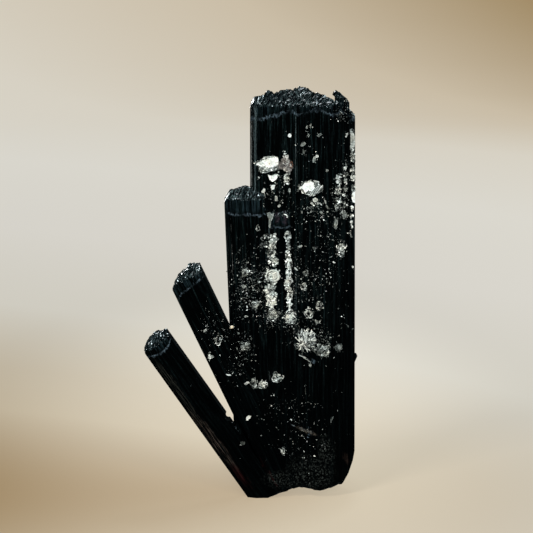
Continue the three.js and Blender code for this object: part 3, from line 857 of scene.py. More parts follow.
class Mica:
    """One piece of mica: its seat on the crystals, its own random draws, and its leaves."""

    def __init__(self, where, seed, seated=True):
        self.name = "zinnwaldite_" + where
        self.draw = np.random.default_rng(seed)
        self.sight = TO_THE_FRONT if "_back" in self.name else TO_THE_BACK
        self.points, self.faces, self.marks = [], [], []
        self.count = 0
        self.seated = seated
        if seated:
            self.take_seat()

    def take_seat(self):
        """Sits on the faces behind its node, which gives it its middle, width and height."""
        self.x, self.z, self.across, self.up = extent_of(self.name)
        hits = []
        for dx, dz in ((0, 0), (0.25, 0.1), (-0.25, 0.12), (0.05, 0.3), (-0.04, -0.3)):
            hit, outward = surface_at(*self.spot(dx, dz), self.sight)
            if hit is not None:
                hits.append((hit, outward))
        outward = sum((looks for hit, looks in hits), Vector()).normalized()
        self.seat = seat_on(hits[0][0], outward)

    def spot(self, dx, dz):
        """A point of the view on it, in shares of its width and height from its middle."""
        return self.x + dx * self.across, self.z + dz * self.up

    def point(self, dx, dy, rise):
        """A point over its seat, in the same shares, that stands off the face by rise."""
        return dx * self.across, dy * self.up, rise

    def around(self, angle, out, rise):
        """A point over its seat, out from the middle by a share of its size."""
        return self.point(out * math.cos(angle), out * math.sin(angle), rise)

    def grown_tone(self, tone):
        """The tones of neighbouring leaves differ widely."""
        return float(np.clip(tone + 0.3 * self.draw.normal(), 0.02, 1.0))

    def add(self, shape, at, spin=0.0, tilt=0.0, lean=0.0, *, tone, seat=None):
        """Adds a shape: spun, tilted and leant in the frame of a seat, then put at a point of it."""
        points, faces, rim = shape
        move = (
            (self.seat if seat is None else seat)
            @ Matrix.Translation(at)
            @ Matrix.Rotation(lean, 4, "Z")
            @ Matrix.Rotation(tilt, 4, "X")
            @ Matrix.Rotation(spin, 4, "Z")
        )
        self.points.append(moved(points, move))
        self.faces += [tuple(self.count + k for k in face) for face in faces]
        self.marks += [(tone, edge) for edge in rim]
        self.count += len(points)

    def stack(self, leaves, thickness, curl, rough=0.09, least=-0.5):
        """Torn leaves one on another: each an outline in shares of the seat, its height and tone."""
        for outline, height, tone in leaves:
            rim = torn(self.draw, outline, self.across, self.up, rough=rough)
            self.add(curled(self.draw, rim, thickness, curl, least), (0, 0, height), tone=tone)

    def pile(self, middle, spread, count, size, tone, tilt=(4, 48), high=0.3):
        """Small books heaped round a point of the faces, each tipped its own way."""
        draw = self.draw
        for _ in range(count):
            angle, reach = draw.uniform(0, 2 * math.pi), 0.5 * math.sqrt(draw.random())
            x = middle[0] + spread[0] * reach * math.cos(angle)
            z = middle[1] + spread[1] * reach * math.sin(angle)
            breadth = draw.uniform(*size)
            shape = chip(draw, breadth, breadth * draw.uniform(0.5, 1.0))
            spin, lean = draw.uniform(*ANY_TURN, 2)
            tipped = math.radians(draw.uniform(*tilt))
            at = (0, 0, draw.uniform(0.02, high))
            shade = self.grown_tone(tone)
            seat = on_face(x, z, self.sight)
            if seat is not None:
                self.add(shape, at, spin, tipped, lean, tone=shade, seat=seat)

    def finish(self, ending, material, slot="zinnwaldite"):
        """Makes the mesh, with the tone of each leaf and how near each face is to the leaf's rim."""
        made = mesh_object(self.name + ending, np.vstack(self.points) * MM, self.faces)
        marks = np.array(self.marks, np.float32)
        for number, label in enumerate(("tone", "rim")):
            layer = made.data.attributes.new(label, "FLOAT", "FACE")
            layer.data.foreach_set("value", np.ascontiguousarray(marks[:, number]))
        made.data.materials.append(material)
        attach(made, "root")
        if self.seated:
            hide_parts(self.name)


def mica_finish(name, colors, stain, metal, rough):
    """Pearly cleavage faces: each leaf has its own tone, a rim painted paler and a middle painted darker,
    fine dark lines painted as the shade between leaves, and clouds.
    """
    finish = Finish(name)
    tone, rim, place = finish.mark("tone"), finish.mark("rim"), finish.place()
    cloud = finish.noise(place, 900.0, 4, 0.65)
    fine = finish.noise(place, 3500.0, 3, 0.6)
    broad = finish.noise(place, 330.0, 3, 0.6)
    cells = finish.add("TexVoronoi", {"Vector": place, "Scale": 1500.0}, feature="DISTANCE_TO_EDGE")
    shade = finish.math("ADD", tone, finish.added(cloud, 0.7, -0.35))
    # Painted light and shade: the rim and edge of each leaf are painted paler, its middle darker.
    shade = finish.math("ADD", shade, finish.added(rim, 0.26, -0.09))
    color = finish.ramp(shade, colors)
    # Painted shade: fine dark lines in a cell pattern stand in for the shade between leaves, less of it on
    # the brightest leaves.
    bright = finish.ranged(tone, 0.7, 0.95, 0.3, 0.85)
    painted_shade_lines = finish.math("MAXIMUM", finish.ranged(cells.outputs[0], 0.01, 0.09), bright)
    color = finish.mixed(1.0, color, painted_shade_lines, "MULTIPLY")
    hue = finish.ramp(broad, [(0.4, (0.93, 1.0, 0.99)), (0.62, (1.0, 0.985, 0.9))])
    color = finish.mixed(1.0, color, hue, "MULTIPLY")
    iron = finish.ranged(tone, STAINED - 0.5, STAINED - 0.2)
    color = finish.mixed(iron, color, (*stain, 1))
    return finish.surface({
        "Base Color": color, "Roughness": finish.ranged(fine, 0.3, 0.7, *rough), "Metallic": metal,
        "Normal": finish.bump(cloud, 0.5, 0.12 * MM), "IOR": 1.58,
    })


silver_mica = mica_finish(
    "zinnwaldite_silver",
    [(0.0, (0.015, 0.018, 0.017)), (0.3, (0.085, 0.095, 0.089)), (0.55, (0.28, 0.30, 0.28)),
     (0.8, (0.70, 0.73, 0.70)), (0.95, (0.93, 0.94, 0.92))],
    stain=(0.42, 0.26, 0.04), metal=0.2, rough=(0.2, 0.45),
)

# Its leaves from the lowest to the highest: outline in shares of the seat, height, tone.
CROWN_LEAVES = [
    ([(-0.4, -0.36), (-0.3, -0.2), (0.1, -0.1), (0.56, -0.1), (0.62, -0.42), (0.4, -0.5), (0.14, -0.6),
      (-0.12, -0.74), (-0.32, -0.72)], 0.06, 0.4),
    ([(-0.55, -0.14), (-0.42, 0.02), (-0.3, 0.3), (0.0, 0.5), (0.35, 0.5), (0.5, 0.3),
      (0.5, -0.2), (0.2, -0.45), (-0.1, -0.45), (-0.3, -0.3)], 0.10, 0.55),
    ([(-0.52, -0.08), (-0.4, 0.08), (-0.22, 0.16), (0.0, 0.34), (0.44, 0.46), (0.5, 0.22),
      (0.47, -0.12), (0.25, -0.36), (-0.06, -0.38), (-0.14, -0.2), (-0.28, -0.26)], 0.34, 0.82),
    ([(-0.2, 0.06), (0.06, 0.26), (0.4, 0.38), (0.46, 0.16), (0.42, -0.1), (0.2, -0.28),
      (-0.04, -0.28)], 0.56, 0.93),
]

crown = Mica("crown_plate", 1000)
crown.stack(CROWN_LEAVES, thickness=0.16, curl=0.1, least=-0.6)
# Small books along its lower edge, and then along the upper edge of the spur.
for share in np.linspace(-0.32, 0.4, 9):
    crown.pile(crown.spot(share, 0.12 * abs(share) - 0.52), (0.9, 0.7), 5, (0.5, 1.0), 0.5)
for share in np.linspace(-0.56, -0.1, 7):
    crown.pile(crown.spot(share, 0.4 - 0.9 * abs(share + 0.1)), (0.8, 0.6), 4, (0.3, 0.8), 0.55)
rust = chip(crown.draw, 0.34, 0.3)
crown.add(rust, crown.point(0.08, 0, 0.72), tone=STAINED)
crown.finish("_book", silver_mica)

# ---------------------------------------------------------------- the small crown book
# A half-round book of the same mica below the large one, white, flat on top, its leaves
# turned up like a cup. Its lowest leaf is bonded flat to the tourmaline.

CUP = [(-0.52, 0.42), (-0.1, 0.3), (0.2, 0.5), (0.52, 0.48), (0.46, 0.0), (0.2, -0.36), (-0.05, -0.5),
       (-0.36, -0.24)]
CUP_LEAVES = [
    (np.array(CUP) * share, height, tone)
    for share, height, tone in ((1.0, 0.14, 0.7), (0.86, 0.36, 0.97))
]

cup = Mica("crown_plate_small", 1001)
cup.stack(CUP_LEAVES, thickness=0.14, curl=0.18, rough=0.05, least=0.2)
cup.finish("_book", silver_mica)

# ---------------------------------------------------------------- the shoulder book
# The second large book, below and right of the crown book: white torn leaves on the left, a
# fold on the right where the edges of a dozen leaves stand in slanting stripes, and a grey
# fringe of small books all round.

SHOULDER_LEAVES = [
    ([(-0.42, -0.1), (-0.34, 0.2), (-0.2, 0.36), (0.05, 0.42), (0.26, 0.3), (0.36, 0.1), (0.3, -0.2),
      (0.14, -0.38), (-0.1, -0.32), (-0.3, -0.3)], 0.14, 0.4),
    ([(-0.42, -0.02), (-0.3, 0.2), (-0.2, 0.34), (-0.06, 0.3), (0.02, 0.46), (0.14, 0.3), (0.18, 0.0),
      (0.08, -0.24), (-0.08, -0.16), (-0.2, -0.34), (-0.3, -0.12)], 0.4, 0.95),
    ([(-0.28, 0.04), (-0.14, 0.24), (0.04, 0.3), (0.12, 0.08), (0.0, -0.12), (-0.16, -0.1)], 0.62, 0.98),
]
STRIPES = 12
STRIPE_LEAN = math.radians(52)
STRIPE_TONES = (0.95, 0.12, 0.5)
FRINGE_BOOKS = 44

book = Mica("shoulder_plate", 1002)
draw = book.draw
book.stack(SHOULDER_LEAVES, thickness=0.15, curl=0.12, rough=0.13)
for k in range(STRIPES):
    share = k / (STRIPES - 1)
    length = (0.5 + 0.3 * math.sin(math.pi * share)) * book.up * draw.uniform(0.85, 1.1)
    stripe = chip(draw, length, 0.75, thickness=0.1)
    at = book.point(0.08 + 0.36 * share, -0.22 + 0.16 * share, 0.62)
    tipped = math.radians(draw.uniform(40, 62))
    book.add(stripe, at, 0, tipped, STRIPE_LEAN, tone=STRIPE_TONES[k % 3])
for angle in np.linspace(0, 2 * math.pi, FRINGE_BOOKS, endpoint=False):
    out = draw.uniform(0.34, 0.54)
    at = book.point(out * math.cos(angle), 0.94 * out * math.sin(angle), draw.uniform(0.2, 0.55))
    breadth = draw.uniform(0.5, 1.4)
    fringe = chip(draw, breadth, breadth * draw.uniform(0.4, 0.8))
    tipped = math.radians(draw.uniform(-10, 50))
    tone = book.grown_tone(0.5)
    book.add(fringe, at, draw.uniform(-0.5, 0.5), tipped, angle - math.pi / 2, tone=tone)
book.finish("_book", silver_mica)

# ---------------------------------------------------------------- the other books
# Smaller six-sided books of zinnwaldite, a few leaves each with tiny books round them, here
# and there on the faces and one on the back. Each is bonded flat where it grew.

# Each: how many leaves, how far it is turned in its seat, and its tone.
BOOKS = {
    "long_book": (3, -6, 0.5),
    "ledge_plate": (3, 40, 0.4),
    "lean_edge_plate": (3, 30, 0.6),
    "root_spark": (3, 24, 0.9),
    "back_plate": (4, -18, 0.75),
}


def hexagon(draw, width, height, step=0.3, rough=0.1):
    """The torn outline of an uneven six-sided leaf."""
    corners = []
    for angle in np.arange(6) * math.pi / 3 + draw.uniform(0, 1):
        reach = draw.uniform(0.26, 0.6)
        corners.append((reach * math.cos(angle), reach * math.sin(angle)))
    return torn(draw, corners, width, height, step, rough)


for number, (where, (leaves, spin, tone)) in enumerate(BOOKS.items()):
    book = Mica(where, 1100 + number)
    draw = book.draw
    for layer in range(leaves):
        share = 1 - 0.2 * layer
        rim = hexagon(draw, share * book.across, share * book.up)
        leaf = curled(draw, rim, thickness=0.13, curl=0.1, least=-0.4)
        at = book.point(draw.uniform(-0.07, 0.07), draw.uniform(-0.07, 0.07), 0.1 + 0.2 * layer)
        turn = math.radians(spin + draw.uniform(-15, 15))
        tipped = math.radians(draw.uniform(-3, 8))
        shade = tone + 0.2 * (layer - 1) + draw.uniform(-0.1, 0.1)
        book.add(leaf, at, turn, tipped, tone=shade)
    for angle in draw.uniform(0, 2 * math.pi, int(1.6 * (book.across + book.up))):
        breadth = draw.uniform(0.3, 0.8)
        out = draw.uniform(0.3, 0.6)
        at = book.around(angle, out, draw.uniform(0.1, 0.3))
        tipped = math.radians(draw.uniform(0, 50))
        fringe = chip(draw, breadth, 0.6 * breadth)
        book.add(fringe, at, 0, tipped, angle - math.pi / 2, tone=book.grown_tone(tone))
    book.finish("_book", silver_mica)

# ---------------------------------------------------------------- the edge blade
# A long, narrow blade of pale grey-green mica down the right edge, pointed above and mottled
# below where its leaves break up. It grew flat on the edge, and is bonded all along it.

BLADE_TIP = [(-0.5, 0.5), (-0.3, 0.42), (0.2, 0.3), (0.46, 0.16), (0.5, -0.2), (0.4, -0.5), (-0.4, -0.5)]
BLADE_SHARE = 0.62        # of its length in one leaf, above the broken-up part
BLADE_STEP = 0.5          # from one heap of small books to the next, down the whole blade
BLADE_LEAVES = [
    (np.array(BLADE_TIP) * (share, share * BLADE_SHARE), height, tone)
    for share, height, tone in ((1.0, 0.12, 0.6), (0.84, 0.3, 0.7))
]

blade = Mica("edge_blade", 1200)
blade.seat = on_face(*blade.spot(-0.15, (1 - BLADE_SHARE) / 2), blade.sight)
blade.stack(BLADE_LEAVES, thickness=0.1, curl=0.06, rough=0.06)
for share in np.arange(-0.5, 0.5, BLADE_STEP / blade.up):
    crowd = 7 if share < 0.5 - BLADE_SHARE else 2
    heap = blade.spot(-0.1, share)
    blade.pile(heap, (0.9 * blade.across, 0.8), crowd, (0.35, 0.8), 0.5, tilt=(0, 34), high=0.2)
blade.finish("_leaves", silver_mica)

# ---------------------------------------------------------------- rosettes of zinnwaldite
# Leaves that grew out from one point like the petals of a rose: the inner ones stand, the
# outer ones lie open. Each is bonded to the face by its middle.

# Each: its tone, and the share of it that is bare in the middle.
ROSETTES = {
    "crown_fringe": (0.68, 0), "edge_rosette_upper": (0.45, 0), "edge_rosette": (0.55, 0),
    "groove_rosette": (0.95, 0), "groove_tail": (0.45, 0.2), "ridge_rosette": (0.78, 0),
    "face_books": (0.45, 0.5), "face_rosette_low": (0.5, 0.4), "face_rosette_side": (0.42, 0.4),
    "ledge_rosette": (0.35, 0.4), "root_rosette": (0.5, 0.3), "stepped_books": (0.5, 0.4),
    "stepped_tail": (0.42, 0.3), "groove_step": (0.35, 0.4), "foot_rosette": (0.4, 0.3),
    "back_rosette_high": (0.55, 0), "back_rosette_low": (0.5, 0.2),
}
PETAL = 0.85              # breadth of a petal
MISSING = 0.2             # share of the petals that have broken off
CURLS = 1.1               # curled leaves on each square millimetre
CURL_BREADTH = (0.14, 0.26)
CURL_HEIGHT = 0.22
WHORLS = (0.25, 0.7, 1.2, 1.7)    # radii of the leaves that wind round the largest rosette


def rosette(piece, tone, hollow=0.0, size=1.0):
    """Rings of petals round a middle, which stays bare in a hollow one, and curled leaves."""
    draw, across, up = piece.draw, size * piece.across, size * piece.up
    breadth = min(PETAL, (0.3 if hollow else 0.42) * min(across, up))
    girth = (across + up) / 2
    lobes = draw.uniform(0, 2 * math.pi, 2)
    for share in np.arange(1 - 0.6 * breadth / girth, hollow, -0.95 * breadth / girth):
        count = max(3, int(math.pi * share * girth / (0.66 * breadth)))
        for k in range(count):
            angle = 2 * math.pi * (k + draw.uniform(-0.4, 0.4)) / count
            lobe = 1 + 0.16 * math.sin(2 * angle + lobes[0]) + 0.13 * math.sin(3 * angle + lobes[1])
            out = size * share * lobe * draw.uniform(0.8, 1.06) / 2
            petal = chip(draw, breadth * draw.uniform(0.6, 1.35), breadth * draw.uniform(0.4, 0.9))
            tipped = math.radians(82 - 42 * share + draw.uniform(-24, 24))
            at = piece.around(angle, out, 0.12 + 0.32 * breadth)
            lean = angle - math.pi / 2 + draw.uniform(-0.3, 0.3)
            shade = piece.grown_tone(tone)
            if draw.random() > MISSING:
                piece.add(petal, at, draw.uniform(-0.4, 0.4), tipped, lean, tone=shade)
    for _ in range(int(CURLS * across * up)):
        angle, out = draw.uniform(0, 2 * math.pi), 0.5 * draw.uniform(hollow, 0.85)
        at = piece.around(angle, size * out, draw.uniform(0.3, 0.6))
        radius = draw.uniform(0.08, 0.19) * min(across, up, 3)
        curl = rolled_leaf(radius, draw.uniform(1.2, 5), draw.uniform(*CURL_BREADTH), CURL_HEIGHT)
        tipped = math.radians(draw.uniform(-25, 25))
        piece.add(curl, at, draw.uniform(*ANY_TURN), tipped, tone=piece.grown_tone(tone + 0.2))


for number, (where, (tone, hollow)) in enumerate(ROSETTES.items()):
    rose = Mica(where, 2000 + number)
    rosette(rose, tone, hollow)
    for radius in WHORLS if where == "groove_rosette" else ():
        whorl = rolled_leaf(radius, rose.draw.uniform(4.4, 5.4), 0.3, 0.24)
        rose.add(whorl, (0.2, 0, 1.0 - 0.2 * radius), rose.draw.uniform(*ANY_TURN), tone=0.98)
    rose.pile(rose.spot(0, 0), (1.25 * rose.across, 1.25 * rose.up), 14, (0.25, 0.7), tone, high=0.2)
    rose.finish("_whorl", silver_mica)

# ---------------------------------------------------------------- the ledge fan
# A burst of slender white blades of zinnwaldite that radiate from a point on the ledge, over
# smaller books. They grew out of the foot of the slim crystals.

FAN_BLADES = 130
FAN_ROOT = (-0.2, -0.25)  # the point that the blades radiate from, in shares of its seat

fan = Mica("ledge_cluster", 2100)
draw = fan.draw
# The books it stands on: across and up in its seat, width and height, how many.
for dx, dz, wide, tall, count in (
    (0.0, 0.0, 0.9, 0.8, 60), (-0.4, -0.3, 0.5, 0.4, 20), (0.42, -0.3, 0.6, 0.6, 40),
    (0.75, -0.55, 0.7, 0.6, 34), (-0.38, 0.36, 0.4, 0.3, 14),
):
    fan.pile(fan.spot(dx, dz), (wide * fan.across, tall * fan.up), count, (0.35, 0.95), 0.3, high=0.5)
for _ in range(FAN_BLADES):
    angle = draw.uniform(0, 2 * math.pi)
    x, y, _ = fan.around(angle, 0.56 * draw.random() ** 0.6, 0)
    lean = math.atan2(y - FAN_ROOT[1] * fan.up, x - FAN_ROOT[0] * fan.across) + draw.uniform(-0.5, 0.5)
    blade = chip(draw, draw.uniform(0.5, 1.8), draw.uniform(0.16, 0.36))
    tipped = math.radians(draw.uniform(-60, 60))
    at = (x, y, draw.uniform(0.35, 0.9))
    fan.add(blade, at, 0, tipped, lean, tone=fan.grown_tone(0.82))
fan.finish("_whorl", silver_mica)

# ---------------------------------------------------------------- rings of zinnwaldite
# Rosettes of zinnwaldite whose middle never filled: a loop of small leaves round a bare patch
# of tourmaline, each leaf bonded by its foot. Two of them are clusters of small loops instead.

RINGS = {"ring_high": 0.4, "face_ring": 0.42, "root_ring": 0.45, "face_ring_low": 0.5, "lean_ring": 0.5,
         "back_ring": 0.45}
LOOPED = {"root_ring", "face_ring_low"}    # the clusters of small loops
LOOPS = 16
LOOP_TURN = 2.4           # from one loop to the next round the middle, in radians
LOOP_RADIUS = (0.25, 0.5)

for number, (where, tone) in enumerate(RINGS.items()):
    ring = Mica(where, 3000 + number)
    draw = ring.draw
    if where in LOOPED:
        for angle in np.arange(LOOPS) * LOOP_TURN + draw.uniform(0, 2):
            at = ring.around(angle, 0.42 * math.sqrt(draw.random()), draw.uniform(0.1, 0.5))
            loop = rolled_leaf(draw.uniform(*LOOP_RADIUS), draw.uniform(3.4, 6.0), 0.2, 0.25)
            tipped = math.radians(draw.uniform(-30, 30))
            ring.add(loop, at, draw.uniform(*ANY_TURN), tipped, tone=ring.grown_tone(tone + 0.25))
        rosette(ring, 0.5 * tone, hollow=0.55, size=0.8)
    else:
        rosette(ring, tone, hollow=0.62)
    ring.finish("_leaves", silver_mica)

# ---------------------------------------------------------------- rows of zinnwaldite
# Small books of zinnwaldite that followed a groove or an edge in a chain of clumps, one above
# another, with curled leaves among them. Each book is bonded to the face it grew on.

# Each: its tone, and how many books there are on each square millimetre.
ROWS = {
    "face_row": (0.5, 5), "edge_row": (0.5, 5), "edge_row_upper": (0.55, 5), "edge_row_lower": (0.54, 5),
    "groove_row_side": (0.24, 5), "groove_row_top": (0.58, 7), "groove_row_low": (0.7, 8),
    "ridge_row_top": (0.6, 7), "ridge_row_middle": (0.68, 7), "ridge_row_low": (0.75, 7),
    "back_row": (0.5, 6), "back_groove_row": (0.45, 6),
}
CLUMP = 2.3               # height of one clump in a row
CLOSED_ABOVE = 0.57       # the palest rows are closed: their clumps run into each other
BLOCKS = 0.5              # share of the clumps that hold one larger white book

for number, (where, (tone, crowd)) in enumerate(ROWS.items()):
    row = Mica(where, 4000 + number)
    draw = row.draw
    clumps = max(2, round(row.up / CLUMP))
    pitch = row.up / clumps
    reach = 1.35 if tone > CLOSED_ABOVE else 0.9
    for k in range(clumps):
        x, z = row.spot(
            draw.uniform(-0.16, 0.16), (k + 0.5 + draw.uniform(-0.15, 0.15)) / clumps - 0.5,
        )
        wide, tall = draw.uniform(0.55, 1.1) * row.across, draw.uniform(0.9, 1.1) * pitch * reach
        shade = tone * draw.uniform(0.6, 1.5)
        row.pile((x, z), (wide, tall), int(crowd * wide * tall), (0.35, 1.0), shade, high=0.35)
        if draw.random() < BLOCKS:
            block = (x + draw.uniform(-0.25, 0.25) * row.across, z + draw.uniform(-0.3, 0.3) * pitch)
            row.pile(block, (0.1, 0.1), 1, (0.8, 1.3), 1.1, tilt=(0, 24), high=0.5)
        for _ in range(int(0.6 * wide * tall)):
            spot = (x + draw.uniform(-0.4, 0.4) * wide, z + draw.uniform(-0.45, 0.45) * tall)
            seat = on_face(*spot, row.sight)
            radius, sweep = draw.uniform(0.16, 0.4), draw.uniform(1.2, 5)
            curl = rolled_leaf(radius, sweep, draw.uniform(*CURL_BREADTH), CURL_HEIGHT)
            spin, tipped = draw.uniform(*ANY_TURN), math.radians(draw.uniform(-25, 25))
            curl_tone = row.grown_tone(shade + 0.2)
            if seat is not None:
                row.add(curl, (0, 0, draw.uniform(0.2, 0.45)), spin, tipped, tone=curl_tone, seat=seat)
    row.finish("_books", silver_mica)

# ---------------------------------------------------------------- the pink-grey patch
# A flat crust of finer, iron-stained mica beside the crown book: pinkish grey scales, one
# grey leaf above them and a small brown ring at the right, all grown onto the tourmaline.

pink_mica = mica_finish(
    "zinnwaldite_pink",
    [(0.0, (0.03, 0.027, 0.025)), (0.35, (0.12, 0.105, 0.098)), (0.65, (0.22, 0.195, 0.185)),
     (0.9, (0.42, 0.395, 0.37)), (1.0, (0.62, 0.60, 0.57))],
    stain=(0.13, 0.062, 0.036), metal=0.05, rough=(0.35, 0.6),
)

patch = Mica("crown_pink_patch", 5000)
draw = patch.draw
# Where the crust lies within its seat: across, up, width, height, how many scales.
for dx, dz, wide, tall, count in (
    (-0.15, 0.05, 0.95, 0.7, 120), (0.1, -0.25, 0.7, 0.5, 60), (-0.1, 0.45, 0.5, 0.4, 26),
    (-0.5, -0.1, 0.4, 0.3, 16),
):
    crust = (wide * patch.across, tall * patch.up)
    patch.pile(patch.spot(dx, dz), crust, count, (0.3, 0.9), 0.55, tilt=(0, 40), high=0.35)
leaf = curled(draw, hexagon(draw, 1.7, 1.3, rough=0.12), thickness=0.1, curl=0.1, least=0)
patch.add(leaf, patch.point(0, 0.5, 0.3), tone=0.9)
ring_x, ring_y, _ = patch.point(0.36, 0.02, 0)
for angle in np.linspace(0, 2 * math.pi, 9, endpoint=False):
    at = (ring_x + 0.42 * math.cos(angle), ring_y + 0.85 * math.sin(angle), 0.4)
    scale = chip(draw, 0.5, 0.4)
    tipped = math.radians(draw.uniform(10, 45))
    patch.add(scale, at, 0, tipped, angle - math.pi / 2, tone=STAINED)
patch.finish("_crust", pink_mica, "pink_mica")

# ---------------------------------------------------------------- the feldspar grain
# One cream grain of feldspar, a lump with blunt cleavage faces. It was caught in the fork
# between a leaning crystal and the stepped one as they grew.

draw = np.random.default_rng(5100)
low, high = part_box("feldspar_grain")
grain_middle, grain_half = (low + high) / 2, (high - low) / 2
CLEAVAGE_FACES = 9
CLEAVAGE_REACH = 0.72     # of the grain's half size, where the cleavage faces begin
work = bmesh.new()
bmesh.ops.create_icosphere(work, subdivisions=3, radius=1)
cleavage = [Vector(draw.normal(size=3)).normalized() for _ in range(CLEAVAGE_FACES)]
for vert in work.verts:
    over = max(0.0, max(vert.co.dot(face) for face in cleavage) - CLEAVAGE_REACH)
    spot = vert.co.normalized()
    rough = 0.05 * float(smooth_noise(5101, 3 * spot.x + 2 * spot.z, 3 * spot.y - spot.z))
    vert.co = spot * (1.02 + rough) * (1 - over)
    vert.co = grain_middle + Vector(a * b for a, b in zip(vert.co, grain_half))
mesh = bpy.data.meshes.new("feldspar_grain_lump")
work.to_mesh(mesh)
work.free()
grain = bpy.data.objects.new("feldspar_grain_lump", mesh)
bpy.context.scene.collection.objects.link(grain)
mesh.set_sharp_from_angle(angle=math.radians(24))

feldspar = Finish("cream_feldspar")
cloud = feldspar.noise(feldspar.place(), 2200.0, 4)
cream = feldspar.ramp(cloud, [(0.4, (0.55, 0.42, 0.22)), (0.52, (0.93, 0.91, 0.80))])
mesh.materials.append(feldspar.surface({
    "Base Color": cream, "Roughness": 0.5, "Normal": feldspar.bump(cloud, 0.5, 0.1 * MM),
}))
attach(grain, "root")
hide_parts("feldspar_grain")

# ---------------------------------------------------------------- loose flakes
# Thousands of flakes of the same mica, a fraction of a millimetre across, strewn over the
# faces round the books and rosettes, and some larger ones. They stick where they grew.

# The larger flakes on the front faces: across and up, width and height, turn, tone.
LARGE_FLAKES = [
    (11.3, 109.0, 1.1, 1.2, 40, 0.97), (9.9, 103.6, 0.9, 0.7, 0, 0.9), (16.4, 111.6, 0.5, 1.5, -15, 0.6),
    (17.5, 111.9, 0.45, 1.8, -5, 0.5), (16.9, 109.2, 0.7, 0.8, 20, 0.5), (20.2, 109.3, 1.8, 0.9, 15, 0.45),
    (15.2, 106.3, 1.8, 1.2, 40, 0.5), (28.1, 108.8, 0.6, 2.2, -12, 0.97), (18.5, 101.9, 0.8, 2.2, -12, 0.6),
    (19.4, 102.9, 1.4, 1.0, 25, 0.95), (22.3, 98.7, 1.1, 0.6, 30, 0.5), (15.4, 104.4, 0.5, 1.5, 10, 0.35),
    (3.6, 92.7, 1.3, 1.0, 50, 0.8), (6.3, 93.6, 1.6, 1.7, -40, 0.98), (3.9, 91.4, 0.5, 1.6, 20, 0.7),
    (7.4, 90.4, 0.9, 1.5, 20, 0.7), (8.2, 88.2, 0.7, 0.8, -20, 0.7), (2.2, 96.6, 0.7, 0.8, 20, 0.8),
    (11.3, 92.9, 0.6, 1.2, 0, 0.6), (-2.4, 64.2, 1.2, 0.9, 30, 0.6),
    (18.8, 89.9, 1.4, 1.4, 0, 0.8), (18.0, 88.9, 0.7, 1.4, 30, 0.7), (19.8, 88.9, 1.1, 0.6, 10, 0.7),
    (21.9, 89.4, 0.4, 2.4, 28, 0.8), (22.5, 87.9, 0.35, 1.7, 24, 0.6), (20.8, 86.3, 0.9, 0.8, 0, 0.6),
    (-6.6, 37.8, 1.6, 0.7, -20, 0.97), (-1.3, 35.3, 1.2, 1.0, 20, 0.95), (-13.7, 51.5, 1.1, 0.9, 30, 0.75),
    (18.6, 75.5, 0.7, 1.5, 40, 0.35), (13.4, 69.4, 0.5, 1.4, 35, 0.85), (14.5, 76.2, 1.3, 0.4, 10, 0.7),
    (19.3, 53.6, 0.7, 1.7, 30, 0.6), (20.3, 53.6, 0.5, 1.6, -35, 0.6), (17.6, 40.6, 0.9, 0.9, 0, 0.6),
    (15.9, 43.1, 0.28, 3.6, 52, 0.75), (16.9, 42.2, 0.22, 3.4, 52, 0.6), (16.1, 32.6, 0.25, 3.2, 0, 0.2),
    (23.9, 23.8, 0.5, 2.0, -30, 0.4), (-2.7, 17.0, 1.3, 1.2, 0, 0.3),
]
# Two leaves that stand out on the slim crystal: a wedge at its left, a curl at its right.
WEDGE = [(-0.5, 0.42), (-0.1, 0.5), (0.2, 0.36), (0.5, 0.46), (0.32, 0.1), (0.08, -0.1), (0.0, -0.5),
         (-0.2, -0.46), (-0.18, 0.0)]
WEDGE_PLACE = (5.6, 84.2)
WEDGE_SIZE = (2.2, 4.8)
HOOK_PLACE = (10.6, 84.9)
HOOK_RADIUS = 0.8
# A white leaf stands off the right edge and looks to the front.
EDGE_LEAF_PLACE = (30.05, 90.3)
EDGE_LEAF_SIZE = (1.5, 3.7)
# Strewn beside which piece, how far off (across, up), how far they spread, how many.
FLAKES = {
    "front": [
        ("crown_plate", (1, -2), (3.4, 6), 60),
        ("crown_fringe", (-3, -4), (3.4, 4.5), 130),
        ("shoulder_plate", (1, -6.5), (5.0, 3.2), 210),
        ("shoulder_plate", (4, -15), (5.0, 7), 130),
        ("edge_blade", (-1.4, 12), (1.5, 2.4), 44),
        ("shoulder_plate", (-1, 10), (3.6, 5), 34),
        ("face_row", (0, 0), (1.7, 6), 130),
        ("edge_row", (0, 0), (1.6, 8), 150),
        ("edge_rosette", (-3, -2), (3.6, 9), 100),
        ("stepped_books", (0.5, -4), (4.0, 8), 620),
        ("groove_rosette", (-2.4, -3), (2.8, 8), 260),
        ("groove_tail", (0, -1), (2.6, 3), 160),
        ("ridge_row_middle", (2, 0), (2.2, 9), 150),
        ("ridge_rosette", (0, -1), (2.4, 3.4), 130),
        ("face_books", (2, 0), (5.4, 7), 220),
        ("ledge_cluster", (2, 0), (4.4, 3.2), 300),
        ("groove_step", (0, -1), (2.6, 4), 120),
        ("lean_ring", (0, 1), (3.4, 4), 70),
        ("lean_ring", (-2.5, 6), (2.6, 5), 60),
        ("lean_ring", (5, -9), (4, 6), 70),
        ("edge_blade", (-3.4, 9), (2.2, 1.8), 70),
        ("face_ring_low", (2, -9), (6, 3.4), 110),
        ("face_ring_low", (6, -14), (8, 7), 70),
        ("foot_rosette", (6, 2), (8, 5), 90),
        ("edge_row_lower", (-3, -26), (3, 18), 50),
    ],
    "back": [
        ("back_rosette_high", (0, -6), (7, 8), 110),
        ("back_plate", (0, -4), (7, 9), 140),
        ("back_row", (0, -8), (4, 12), 120),
        ("back_rosette_low", (-3, 3), (6, 9), 120),
        ("back_groove_row", (0, 0), (4, 12), 110),
    ],
}


